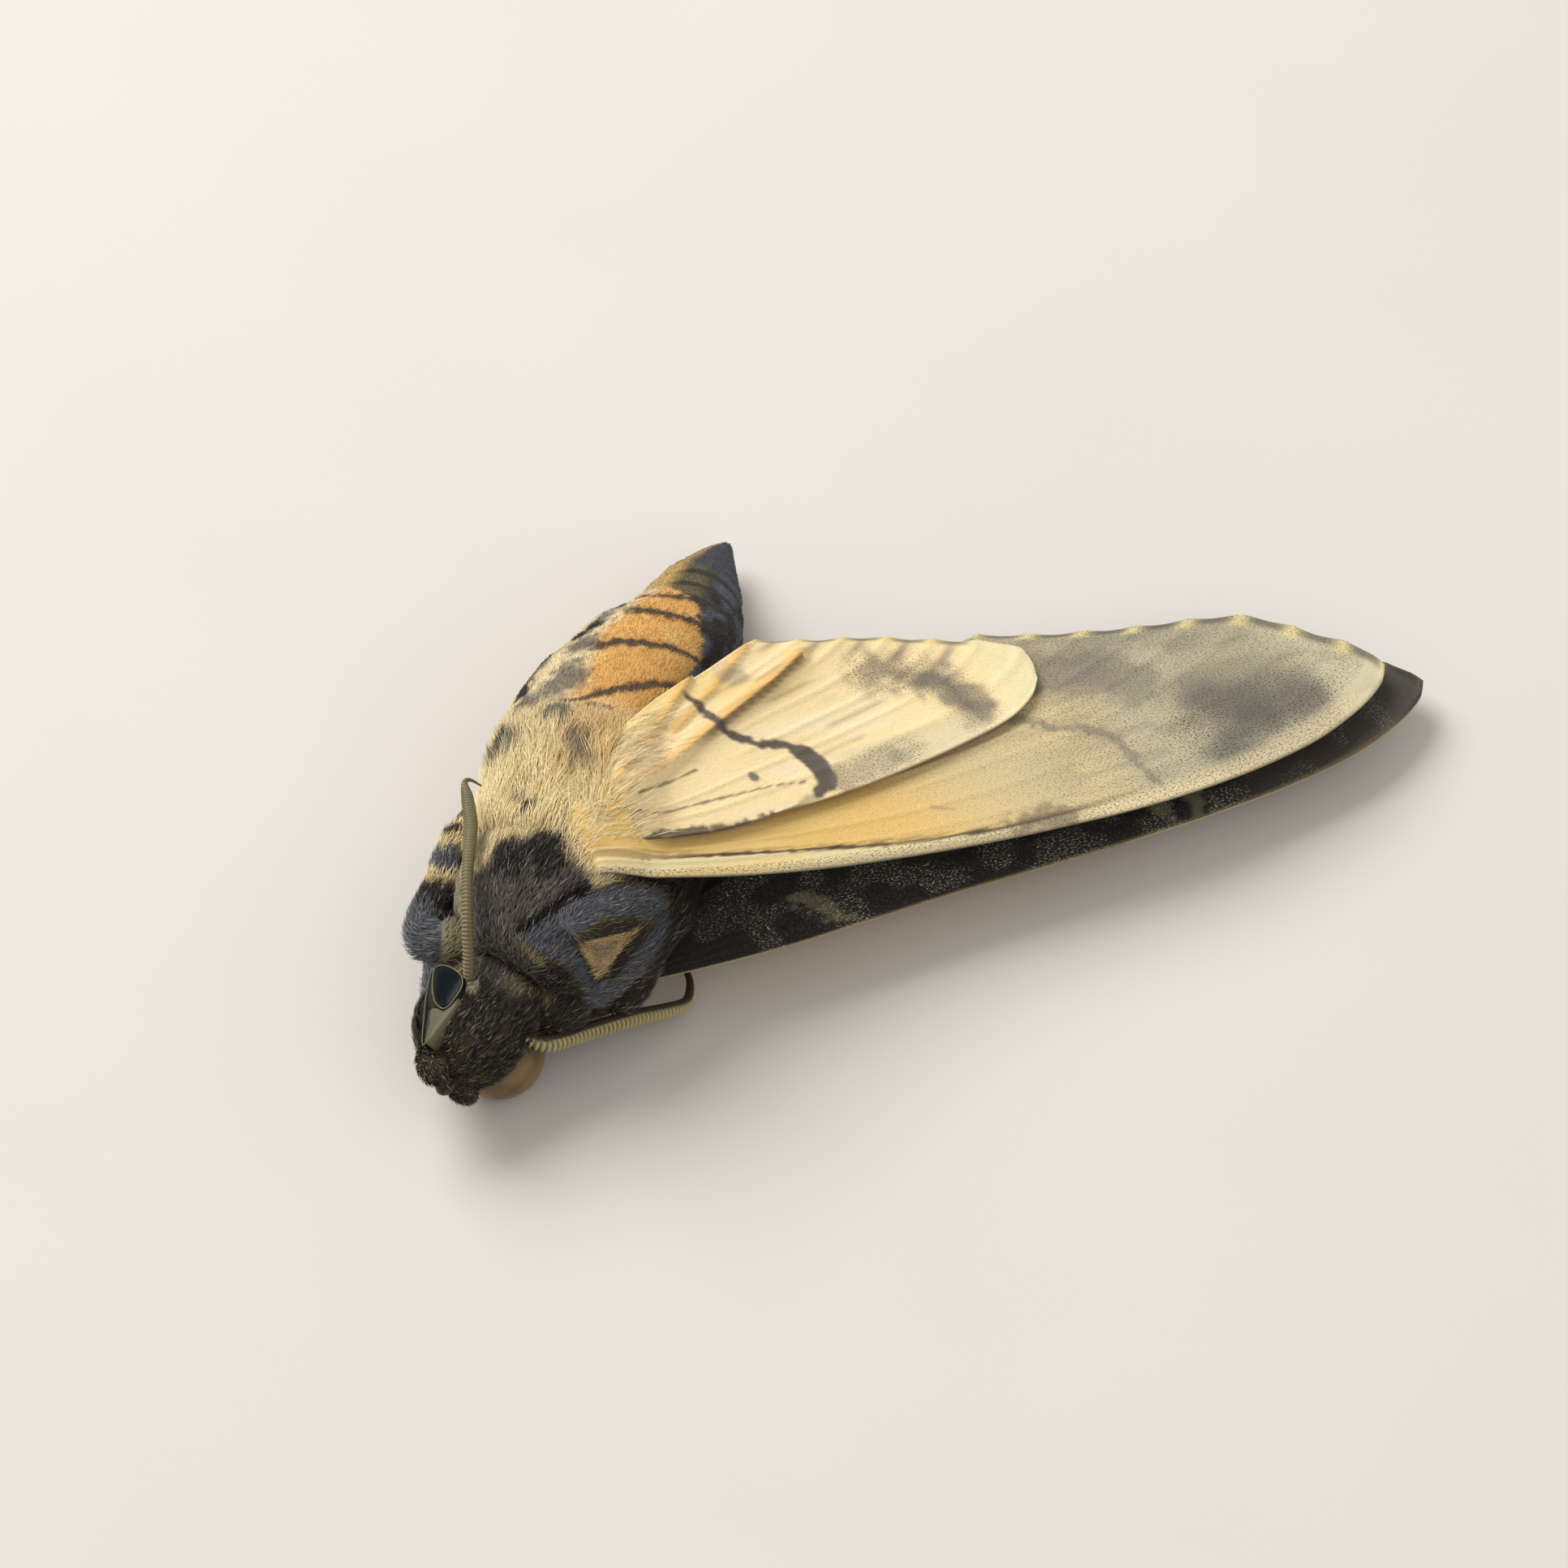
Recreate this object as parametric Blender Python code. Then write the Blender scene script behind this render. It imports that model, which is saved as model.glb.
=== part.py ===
"""A lesser death's head hawkmoth, life size, as a papered specimen lying on its left side.

The wings are closed over the back, so the undersides of the right pair face up.
All lengths are in millimetres and become metres where a mesh is made. +X points along the
wings, +Y towards the tail and +Z up. At the end everything moves so that the middle of the
thorax's flat on the floor is the origin.
"""

import math
import random

import bmesh
import bpy
import numpy as np
from mathutils import Matrix, Vector

# Sizes shared by every part
MM = 0.001
GAP = 0.3
WING_THICKNESS = 0.5
VEIN_RIDGE = 0.16
LAYER_STEP = 1.0
FLOOR_SINK = 0.12
RESTING_PLACE = Vector((2.8, 3.95, 0.0))
SEED = 7

# The body's centre line: x, y, z, and the radius across it
BODY_STATIONS = [
    (-0.5, -4.3, 5.8, 3.0),
    (0.0, -3.6, 6.0, 4.7),
    (1.2, -1.8, 6.15, 6.0),
    (2.5, 0.3, 6.3, 6.45),
    (3.1, 2.8, 6.3, 6.45),
    (3.3, 5.4, 6.05, 6.2),
    (3.4, 8.0, 5.7, 5.8),
    (3.9, 11.0, 5.35, 5.5),
    (4.9, 14.2, 5.2, 5.35),
    (6.6, 17.6, 4.75, 4.8),
    (8.4, 20.4, 4.2, 4.0),
    (9.8, 25.4, 2.95, 2.65),
    (10.7, 28.4, 2.2, 1.35),
    (11.4, 30.1, 1.85, 0.35),
]
BODY_STEPS = 240
WAIST_Y = 7.8
WAIST_SHARE = 0.1
DORSAL = Vector((0.82, -0.26, 0.5)).normalized()
ABDOMEN_SEGMENTS = 7
SEGMENT_STEP = 0.22

# The head's own frame and sizes
HEAD_CENTRE = Vector((-2.8, -7.3, 4.9))
HEAD_RIGHT = Vector((-0.549, 0.039, 0.833)).normalized()
HEAD_FORWARD = Vector((-0.42, -0.9, -0.06))
HEAD_LENGTH = 3.5
HEAD_HALF_WIDTH = 3.7
HEAD_HALF_DEPTH = 3.4
EYE_RADIUS = 2.7
LEFT_EYE = Vector((-1.4, -7.3, 2.58))
RIGHT_EYE = Vector((-4.35, -7.0, 6.9))
RIGHT_EYE_HALF = (2.35, 1.3, 1.0)

# Wing outlines in plan: millimetres along the wing from its base, and across it
FORE_COSTA = [(-3.4, 0.4), (0.0, -0.6), (7.2, -1.8), (17.0, -2.6), (26.7, -3.7), (35.0, -4.2), (42.5, -3.5),
              (47.0, -1.9), (50.2, 0.0)]
FORE_TERMEN = [(50.2, 0.0), (50.2, 1.1), (49.2, 2.8), (47.3, 5.4), (44.8, 7.8), (41.5, 8.9), (37.8, 9.7),
               (33.6, 10.8), (29.2, 12.2)]
FORE_INNER = [(-3.0, 3.2), (3.0, 4.6), (12.0, 7.4), (22.0, 10.2), (29.2, 12.2)]
HIND_COSTA = [(-3.2, -0.6), (1.0, -2.3), (6.0, -3.1), (12.0, -2.7), (18.0, -2.3), (23.0, -1.9), (26.6, -1.4),
              (28.7, -0.5), (29.8, 0.6)]
HIND_TERMEN = [(29.8, 0.6), (30.4, 2.2), (29.9, 3.8), (28.1, 4.9), (23.6, 6.8), (21.3, 7.5), (18.1, 8.2),
               (15.5, 8.9)]
HIND_INNER = [(-3.0, 1.5), (0.4, 2.2), (2.1, 3.9), (4.0, 5.2), (5.6, 5.9), (8.6, 7.0), (11.0, 7.6), (13.6, 8.4),
              (15.5, 8.9)]
WINGS = {
    "forewing_right": {"base": (4.4, -1.2), "heading": 23.75, "span": 1.0, "chord": 1.0, "fore": True},
    "hindwing_right": {"base": (4.2, 2.3), "heading": 30.3, "span": 1.0, "chord": 1.0, "fore": False},
    "forewing_left": {"base": (8.3, -2.8), "heading": 26.9, "span": 0.985, "chord": 0.86, "fore": True},
    "hindwing_left": {"base": (8.4, 1.2), "heading": 31.0, "span": 0.97, "chord": 0.9, "fore": False},
}
FORE_VEINS, FORE_COLUMNS = 7, 20
HIND_VEINS, HIND_COLUMNS = 6, 14
CELL_END = 0.45

# Limbs: the points of each centre line with its radius there
LEGS = {
    "leg_fore_right": [(-1.6, -2.4, 6.2, 1.3), (-3.9, -2.4, 6.6, 1.45), (-5.4, -2.1, 6.2, 1.35),
                       (-5.6, -0.6, 6.3, 1.15), (-4.8, 1.6, 6.4, 1.1), (-4.2, 4.6, 6.4, 0.95), (-3.7, 6.0, 6.3, 0.7),
                       (-3.4, 7.2, 6.2, 0.45)],
    "leg_mid_right": [(-1.4, -0.6, 3.9, 1.2), (-3.7, -1.2, 3.6, 1.2), (-4.9, 0.2, 3.7, 1.0),
                      (-4.4, 3.2, 3.8, 0.95), (-3.8, 6.0, 3.8, 0.8), (-3.2, 8.2, 3.7, 0.6), (-2.7, 9.6, 3.6, 0.4)],
    "leg_hind_right": [(0.2, 6.8, 2.9, 0.8), (-1.9, 6.8, 2.2, 0.8), (-2.0, 9.4, 2.1, 0.68),
                       (-1.5, 12.5, 1.9, 0.58), (-0.7, 16.0, 1.7, 0.45), (0.0, 18.2, 1.6, 0.3)],
    "leg_fore_left": [(-0.2, -3.0, 2.6, 1.0), (-3.0, -3.4, 1.4, 1.1), (-4.9, -2.6, 1.3, 1.0),
                      (-5.0, 0.0, 1.35, 0.95), (-4.6, 3.0, 1.35, 0.85), (-4.4, 5.4, 1.2, 0.6), (-4.3, 6.8, 1.1, 0.4)],
    "leg_mid_left": [(0.4, -0.6, 1.6, 0.9), (-1.8, -0.8, 1.15, 0.95), (-2.6, 1.0, 1.2, 0.85),
                     (-2.3, 3.2, 1.2, 0.75), (-2.2, 4.6, 1.1, 0.55), (-2.2, 5.6, 1.1, 0.4)],
    "leg_hind_left": [(1.2, 7.0, 1.2, 0.7), (-0.6, 7.6, 0.85, 0.66), (-0.5, 10.2, 0.8, 0.56),
                      (-0.1, 13.5, 0.75, 0.48), (0.6, 16.5, 0.7, 0.4), (1.1, 18.6, 0.6, 0.3)],
}
ANTENNAE = {
    "antenna_right": [(-2.9, -6.6, 7.0, 0.42), (-2.93, -5.9, 8.9, 0.5), (-3.03, -4.1, 10.9, 0.52),
                      (-3.2, -1.6, 11.7, 0.56), (-3.32, 2.0, 11.3, 0.52), (-3.36, 4.4, 10.9, 0.4),
                      (-3.26, 5.5, 10.8, 0.3), (-2.8, 5.7, 10.6, 0.22), (-2.3, 5.5, 10.3, 0.15)],
    "antenna_left": [(-0.2, -7.7, 5.3, 0.42), (1.35, -8.15, 4.65, 0.5), (3.6, -7.4, 3.0, 0.52),
                     (6.0, -6.1, 1.9, 0.55), (8.0, -4.5, 1.5, 0.5), (9.2, -2.9, 1.3, 0.42),
                     (9.4, -1.4, 1.25, 0.32), (9.0, -0.4, 1.2, 0.25), (8.4, -0.2, 1.15, 0.18)],
}
ANTENNA_SEGMENTS = 24
# Forward, sideways and dorsal of the head's centre, with the radius there
PALP = [(2.0, 1.3, -0.9, 0.9), (3.1, 1.75, -0.3, 1.1), (3.9, 1.75, 0.5, 1.05), (4.3, 1.65, 1.2, 0.6)]
PROBOSCIS_RADIUS = 0.36
PROBOSCIS_COIL = 0.86
PROBOSCIS_TURNS = 0.86

# The shoulder plates over the wing roots: centre, direction, outward direction, half sizes
TEGULAE = {
    "right": {"centre": (5.5, -2.3, 9.6), "along": (6.7, 5.4, -3.0), "out": (0.66, -0.24, 0.71),
              "half": (4.5, 1.9, 1.9)},
    "left": {"centre": (6.5, -3.0, 5.8), "along": (4.1, 3.1, 2.8), "out": (0.92, -0.39, -0.07),
             "half": (3.7, 1.7, 1.5)},
}

# Fur locks on the thorax: length, half width, half thickness
LOCK = (3.2, 0.72, 0.28)
LOCK_ROWS = [(-0.6, 9), (0.9, 10), (2.4, 11), (3.9, 11), (5.4, 11)]
LOCK_FIRST_ANGLE, LOCK_LAST_ANGLE = 78.0, 176.0
RUMP_LOCKS = 26

COLOURS = {
    "dark_fur": (0.06, 0.05, 0.04, 0.85, 0.0),
    "abdomen": (0.70, 0.42, 0.10, 0.75, 0.0),
    "wing": (0.72, 0.58, 0.34, 0.7, 0.0),
    "wing_dark": (0.05, 0.045, 0.035, 0.75, 0.0),
    "eye": (0.30, 0.20, 0.09, 0.15, 0.0),
    "eye_dark": (0.02, 0.03, 0.035, 0.12, 0.0),
    "chitin": (0.30, 0.24, 0.10, 0.4, 0.0),
}


def material(slot):
    """The Principled material of a slot, made once."""
    if slot in bpy.data.materials:
        return bpy.data.materials[slot]
    made = bpy.data.materials.new(slot)
    made.use_nodes = True
    red, green, blue, roughness, metallic = COLOURS[slot]
    shader = made.node_tree.nodes["Principled BSDF"]
    shader.inputs["Base Color"].default_value = (red, green, blue, 1.0)
    shader.inputs["Roughness"].default_value = roughness
    shader.inputs["Metallic"].default_value = metallic
    return made


def mesh_object(name, points, faces, slot=None):
    """A mesh object from points in millimetres, with its faces turned outwards."""
    mesh = bpy.data.meshes.new(name)
    mesh.from_pydata([tuple(c * MM for c in p) for p in points], [], faces)
    work = bmesh.new()
    work.from_mesh(mesh)
    bmesh.ops.recalc_face_normals(work, faces=work.faces)
    work.to_mesh(mesh)
    work.free()
    made = bpy.data.objects.new(name, mesh)
    bpy.context.scene.collection.objects.link(made)
    if slot:
        mesh.materials.append(material(slot))
    return made


def drop_flaps(work):
    """Removes pairs of faces that lie back to back on the same corners."""
    bmesh.ops.triangulate(work, faces=work.faces)
    seen = {}
    for face in work.faces:
        seen.setdefault(frozenset(face.verts), []).append(face)
    flaps = [face for pair in seen.values() if len(pair) > 1 for face in pair]
    bmesh.ops.delete(work, geom=flaps, context="FACES")


def largest_surface(mesh):
    """Keeps only the mesh's largest closed surface."""
    work = bmesh.new()
    work.from_mesh(mesh)
    drop_flaps(work)
    left, islands = set(work.faces), []
    while left:
        stack, island = [left.pop()], []
        while stack:
            face = stack.pop()
            island.append(face)
            for edge in face.edges:
                for other in edge.link_faces:
                    if other in left:
                        left.remove(other)
                        stack.append(other)
        islands.append(island)
    islands.sort(key=lambda island: sum(f.calc_area() for f in island), reverse=True)
    loose = [f for island in islands[1:] for f in island]
    bmesh.ops.delete(work, geom=loose, context="FACES")
    cleaned = work.copy()
    bmesh.ops.dissolve_degenerate(cleaned, dist=0.004 * MM, edges=cleaned.edges)
    drop_flaps(cleaned)
    closed = all(edge.is_manifold for edge in cleaned.edges)
    (cleaned if closed else work).to_mesh(mesh)
    cleaned.free()
    work.free()


def boolean(target, others, operation):
    """Applies one Boolean of the target with a collection of closed meshes, which are then removed."""
    group = bpy.data.collections.new("operands")
    bpy.context.scene.collection.children.link(group)
    for other in others:
        bpy.context.scene.collection.objects.unlink(other)
        group.objects.link(other)
    modifier = target.modifiers.new("join", "BOOLEAN")
    modifier.operation = operation
    modifier.operand_type = "COLLECTION"
    modifier.collection = group
    modifier.solver = "MANIFOLD"
    graph = bpy.context.evaluated_depsgraph_get()
    result = bpy.data.meshes.new_from_object(target.evaluated_get(graph))
    target.modifiers.clear()
    old = target.data
    target.data = result
    bpy.data.meshes.remove(old)
    for other in list(group.objects):
        bpy.data.objects.remove(other)
    bpy.data.collections.remove(group)
    largest_surface(target.data)
    return target


def smooth_path(points, count):
    """Points at even steps along a Catmull-Rom curve through rows of numbers."""
    rows = np.array(points, float)
    rows = np.vstack([2 * rows[0] - rows[1], rows, 2 * rows[-1] - rows[-2]])
    spans = len(points) - 1
    fine = []
    for step in np.linspace(0, spans, 24 * spans + 1):
        i = min(int(step), spans - 1)
        t = step - i
        a, b, c, d = rows[i : i + 4]
        fine.append(0.5 * (2 * b + (c - a) * t + (2 * a - 5 * b + 4 * c - d) * t**2 + (3 * b - a - 3 * c + d) * t**3))
    fine = np.array(fine)
    gone = np.concatenate([[0], np.cumsum(np.linalg.norm(np.diff(fine[:, :3], axis=0), axis=1))])
    at = np.linspace(0, gone[-1], count)
    return np.stack([np.interp(at, gone, fine[:, k]) for k in range(rows.shape[1])], axis=1)


def closed_loft(name, rings, slot=None):
    """A closed mesh from rings of equal count, capped by a fan at each end."""
    sides = len(rings[0])
    points = [p for ring in rings for p in ring]
    faces = []
    for r in range(len(rings) - 1):
        for s in range(sides):
            a, b = r * sides + s, r * sides + (s + 1) % sides
            faces.append((a, b, b + sides, a + sides))
    for ring, first in ((rings[0], 0), (rings[-1], (len(rings) - 1) * sides)):
        points.append(sum((Vector(p) for p in ring), Vector()) / sides)
        for s in range(sides):
            faces.append((first + s, first + (s + 1) % sides, len(points) - 1))
    return mesh_object(name, points, faces, slot)


def path_frames(rows):
    """Tangent, lateral and dorsal unit vectors at each row of a centre line."""
    frames = []
    for i in range(len(rows)):
        before, after = Vector(rows[max(i - 1, 0)][:3]), Vector(rows[min(i + 1, len(rows) - 1)][:3])
        tangent = (after - before).normalized()
        dorsal = (DORSAL - tangent * DORSAL.dot(tangent)).normalized()
        frames.append((tangent, dorsal.cross(-tangent).normalized() * -1, dorsal))
    return frames


def tube(name, points, sides, count, slot=None, extra=0.0, swell=None):
    """A closed tube round a smooth centre line of x, y, z, radius, with a rounded tip."""
    rows = smooth_path(points, count)
    rings = []
    for i, (row, frame) in enumerate(zip(rows, path_frames(rows))):
        radius = row[3] + extra
        if swell:
            radius *= swell(i, count)
        rings.append(ring(Vector(row[:3]), frame, radius, radius, sides))
    tip_tangent = path_frames(rows)[-1][0]
    tip = [p + tip_tangent * (rows[-1][3] * 0.6) - (p - Vector(rows[-1][:3])) * 0.6 for p in rings[-1]]
    return closed_loft(name, rings + [tip], slot)


def ring(centre, frame, lateral_radius, dorsal_radius, sides):
    """Points round a centre. Angle 0 is dorsal and 90 degrees is the animal's right."""
    _, lateral, dorsal = frame
    found = []
    for s in range(sides):
        angle = math.tau * s / sides
        found.append(centre + dorsal * (dorsal_radius * math.cos(angle)) + lateral * (lateral_radius * math.sin(angle)))
    return found


def ellipsoid(name, centre, axes, slot=None, extra=0.0, sides=20, rings=10):
    """A closed ellipsoid whose half axes are three vectors."""
    half = [Vector(a).normalized() * (Vector(a).length + extra) for a in axes]
    loops = []
    for r in range(1, rings):
        polar = math.pi * r / rings
        loops.append([
            Vector(centre) + half[0] * math.cos(polar)
            + (half[1] * math.cos(math.tau * s / sides) + half[2] * math.sin(math.tau * s / sides)) * math.sin(polar)
            for s in range(sides)
        ])
    points = [p for loop in loops for p in loop]
    faces = []
    for r in range(len(loops) - 1):
        for s in range(sides):
            a, b = r * sides + s, r * sides + (s + 1) % sides
            faces.append((a, b, b + sides, a + sides))
    for pole, first in ((half[0], 0), (-half[0], (len(loops) - 1) * sides)):
        points.append(Vector(centre) + pole)
        for s in range(sides):
            faces.append((first + s, first + (s + 1) % sides, len(points) - 1))
    return mesh_object(name, points, faces, slot)


BODY = smooth_path(BODY_STATIONS, BODY_STEPS + 1)
BODY_FRAMES = path_frames(BODY)
WAIST = int(np.searchsorted(BODY[:, 1], WAIST_Y))


def body_ring(i, radius, sides):
    return ring(Vector(BODY[i][:3]), BODY_FRAMES[i], radius, radius, sides)


def body_top(x, y):
    """Height of the body's upper surface over a point of the floor."""
    apart = (BODY[:, 0] - x) ** 2 + (BODY[:, 1] - y) ** 2
    under = apart < BODY[:, 3] ** 2
    rise = np.sqrt(np.where(under, BODY[:, 3] ** 2 - apart, 0))
    return float(np.where(under, BODY[:, 2] + rise, -9).max())


def smooth_max(a, b, blend=0.6):
    share = max(blend - abs(a - b), 0) / blend
    return max(a, b) + share * share * blend / 4


def right_fore_height(x, y):
    """The right forewing slopes from the top of the thorax down to the left pair."""
    beside = max(0.0, x - float(np.interp(y, BODY[:, 1], BODY[:, 0])))
    return 3.3 - 0.006 * (x - 26.2) - 0.154 * (y - 21.9) + 5.0 * math.exp(-((beside / 12) ** 2))


def right_hind_height(x, y):
    """The right hindwing lies on the forewing, is held up by the abdomen, and dips at its root."""
    dip = 1.5 * math.exp(-(((x - 1.0) / 2.2) ** 2) - ((y - 1.2) / 2.6) ** 2)
    return smooth_max(right_fore_height(x, y) + LAYER_STEP, body_top(x, y) + 0.75) - dip


def left_fore_height(x, y):
    return 4.4 + 0.013 * (x - 8.3) - 0.128 * (y + 2.8)


def left_hind_height(x, y):
    """The left hindwing lies under its forewing and sags to the floor at its outer margin."""
    sag = 0.9 * min(1.0, max(0.0, (x - 10.0) / 16.0)) ** 1.5
    return smooth_max(left_fore_height(x, y) - LAYER_STEP - 0.1 - sag, WING_THICKNESS / 2 - FLOOR_SINK, 0.3)


HEIGHTS = {
    "forewing_right": right_fore_height,
    "hindwing_right": right_hind_height,
    "forewing_left": left_fore_height,
    "hindwing_left": left_hind_height,
}


def wing_plan(fore):
    """A function from (u, v) to plan millimetres: u runs from base to margin, v from costa to inner margin."""
    count = 41
    costa = smooth_path([(*p, 0.0) for p in (FORE_COSTA if fore else HIND_COSTA)], count)[:, :2]
    inner = smooth_path([(*p, 0.0) for p in (FORE_INNER if fore else HIND_INNER)], count)[:, :2]
    termen = smooth_path([(*p, 0.0) for p in (FORE_TERMEN if fore else HIND_TERMEN)], count)[:, :2]
    grid = np.linspace(0, 1, count)

    def along(curve, t):
        return np.array([np.interp(t, grid, curve[:, 0]), np.interp(t, grid, curve[:, 1])])

    def plan(u, v):
        corners = (1 - u) * (1 - v) * costa[0] + u * (1 - v) * costa[-1] + (1 - u) * v * inner[0] + u * v * inner[-1]
        root = (1 - v) * costa[0] + v * inner[0]
        return (1 - v) * along(costa, u) + v * along(inner, u) + (1 - u) * root + u * along(termen, v) - corners

    return plan


def wing_height(name, point):
    """World position of a plan point on a wing's middle surface."""
    shape = WINGS[name]
    turn = math.radians(shape["heading"])
    along, across = point[0] * shape["span"], point[1] * shape["chord"]
    x = shape["base"][0] + along * math.cos(turn) - across * math.sin(turn)
    y = shape["base"][1] + along * math.sin(turn) + across * math.cos(turn)
    return Vector((x, y, HEIGHTS[name](x, y)))


def ridge(u, row, veins):
    """Height of a vein above the membrane. The middle veins rise only beyond the cell."""
    if row % 2:
        return 0.0
    vein = row // 2
    middle = veins // 2
    if abs(vein - middle) <= 1:
        return VEIN_RIDGE * min(1.0, max(0.0, (u - CELL_END) / 0.12))
    return VEIN_RIDGE * min(1.0, 0.4 + 3 * u)


def wing(name):
    """A thin closed sheet whose two faces are split alike, with its veins raised as ridges."""
    fore = WINGS[name]["fore"]
    veins, columns = (FORE_VEINS, FORE_COLUMNS) if fore else (HIND_VEINS, HIND_COLUMNS)
    lines = 2 * veins
    plan = wing_plan(fore)
    upper, lower = [], []
    for c in range(columns + 1):
        u = c / columns
        for r in range(lines + 1):
            v = r / lines
            middle = wing_height(name, plan(u, v))
            edge = 0.12 if c == columns or r in (0, lines) else 0.0
            half = WING_THICKNESS / 2 + ridge(u, r, veins) / 2 - edge / 2
            upper.append(middle + Vector((0, 0, half)))
            lower.append(middle - Vector((0, 0, half)))
    stride, count = lines + 1, len(upper)
    faces = []
    for c in range(columns):
        for r in range(lines):
            a, b = c * stride + r, (c + 1) * stride + r
            for tri in ((a, b, b + 1), (a, b + 1, a + 1)):
                faces.append(tri)
                faces.append(tuple(count + i for i in reversed(tri)))
    rim = [c * stride for c in range(columns)] + [columns * stride + r for r in range(lines)]
    rim += [c * stride + lines for c in range(columns, 0, -1)] + list(range(lines, 0, -1))
    for i, a in enumerate(rim):
        b = rim[(i + 1) % len(rim)]
        faces += [(a, count + a, count + b), (a, count + b, b)]
    return mesh_object(name, upper + lower, faces, "wing" if name.endswith("right") else "wing_dark")


def thorax_core(extra=0.0, slot=None):
    picked = np.linspace(0, WAIST, 15).round().astype(int)
    rings = [body_ring(i, BODY[i][3] + extra, 28) for i in picked]
    if extra:
        rings[0] = [p - BODY_FRAMES[0][0] * extra for p in rings[0]]
        rings[-1] = [p + BODY_FRAMES[WAIST][0] * extra for p in rings[-1]]
    return closed_loft("thorax", rings, slot)


def body_point(i, angle, out):
    """A point at an angle round the body, above its surface by out, with the outward direction."""
    _, lateral, dorsal = BODY_FRAMES[i]
    turn = math.radians(angle)
    outward = dorsal * math.cos(turn) + lateral * math.sin(turn)
    return Vector(BODY[i][:3]) + outward * (BODY[i][3] + out), outward


def tegula(side, extra=0.0):
    """The shoulder plate over a pair of wing roots, as a long low mound on the thorax."""
    shape = TEGULAE[side]
    out = Vector(shape["out"]).normalized()
    along = Vector(shape["along"])
    along = (along - out * along.dot(out)).normalized()
    long_half, out_half, across_half = shape["half"]
    axes = [along * long_half, out * out_half, along.cross(out) * across_half]
    return ellipsoid(f"tegula_{side}", shape["centre"], axes, extra=extra, sides=16, rings=9)


def shoulder_cutters():
    """The thorax and its plates grown by the gap, for trimming what grows from them."""
    return [thorax_core(GAP), tegula("right", GAP), tegula("left", GAP)]


def lock(root, outward, along, size):
    """One flat tapered lock of fur, bent over along its lie, with its root sunk in the body."""
    length, half_width, half_thick = size
    side = outward.cross(along).normalized()
    rings = []
    for reach, lift, share in ((-0.25, -0.9, 0.8), (0.12, 0.12, 1.0), (0.5, 0.42, 0.8), (0.82, 0.34, 0.42),
                               (1.0, 0.12, 0.06)):
        centre = root + along * (length * reach) + outward * lift
        wide, thick = side * (half_width * share), outward * (half_thick * max(share, 0.3))
        rings.append([centre + wide, centre + thick, centre - wide, centre - thick])
    return closed_loft("lock", rings)


def clear_of_neighbours(points):
    """True if no point of a lock comes near a wing, a leg, an antenna or the floor."""
    for p in points:
        if p.z < 0.4:
            return False
        if p.x > -0.2 and p.z > right_fore_height(p.x, p.y) - 0.9:
            return False
    for route in [*LEGS.values(), *ANTENNAE.values()]:
        rows = smooth_path(route, 30)
        for p in points:
            if min((Vector(r[:3]) - p).length - r[3] for r in rows) < 0.8:
                return False
    return True


def thorax_locks():
    """Rows of locks on both flanks of the thorax and a ruff of them over the abdomen's front."""
    draw = random.Random(SEED)
    spots = []
    for y_row, count in LOCK_ROWS:
        row = int(np.searchsorted(BODY[:, 1], y_row))
        spread = (LOCK_LAST_ANGLE - LOCK_FIRST_ANGLE) / (count - 1)
        for side in (1, -1):
            spots += [(row, side * (LOCK_FIRST_ANGLE + k * spread + draw.uniform(-3, 3)), 1.0) for k in range(count)]
    for k in range(RUMP_LOCKS):
        spots.append((WAIST - 6, k * 360 / RUMP_LOCKS + draw.uniform(-4, 4), 0.85))
    found = []
    for row, angle, scale in spots:
        root, outward = body_point(row, angle, -0.15)
        along = (BODY_FRAMES[row][0] + outward * 0.06).normalized()
        size = (LOCK[0] * scale * draw.uniform(0.85, 1.15), LOCK[1] * draw.uniform(0.9, 1.2), LOCK[2])
        path = [root + along * size[0] * t + outward * (0.7 * (1 - t) + 0.2) for t in (0.2, 0.6, 1.0)]
        if clear_of_neighbours(path):
            found.append(lock(root, outward, along, size))
    return found


def floor_cutter():
    """A block under the floor, which gives what touches it its small flats."""
    work = bmesh.new()
    bmesh.ops.create_cube(work, size=1.0, matrix=Matrix.Translation((0.02, 0.01, -0.01)) @ Matrix.Diagonal(
        (0.2, 0.2, 0.02, 1.0)))
    mesh = bpy.data.meshes.new("floor")
    work.to_mesh(mesh)
    work.free()
    made = bpy.data.objects.new("floor", mesh)
    bpy.context.scene.collection.objects.link(made)
    return made


def thorax():
    core = thorax_core(slot="dark_fur")
    boolean(core, [tegula("right"), tegula("left"), *thorax_locks()], "UNION")
    return boolean(core, [floor_cutter()], "DIFFERENCE")


def abdomen():
    """Seven overlapping rings that taper to a pointed tip, drawn in at the waist under the ruff."""
    picked = np.linspace(WAIST + 2, BODY_STEPS, 4 * ABDOMEN_SEGMENTS).round().astype(int)
    rings = []
    for k, i in enumerate(picked):
        part = (k % 4) / 3
        radius = BODY[i][3] * (1 - WAIST_SHARE * math.exp(-(((i - WAIST) / 14) ** 2)))
        radius += SEGMENT_STEP * (part - 0.6) * min(1.0, radius / 3)
        rings.append(body_ring(i, max(0.3, radius), 24))
    made = closed_loft("abdomen", rings, "abdomen")
    return boolean(made, [floor_cutter()], "DIFFERENCE")


def head_frame():
    forward = (HEAD_FORWARD - HEAD_RIGHT * HEAD_FORWARD.dot(HEAD_RIGHT)).normalized()
    return forward, HEAD_RIGHT, HEAD_RIGHT.cross(forward).normalized()


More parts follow.
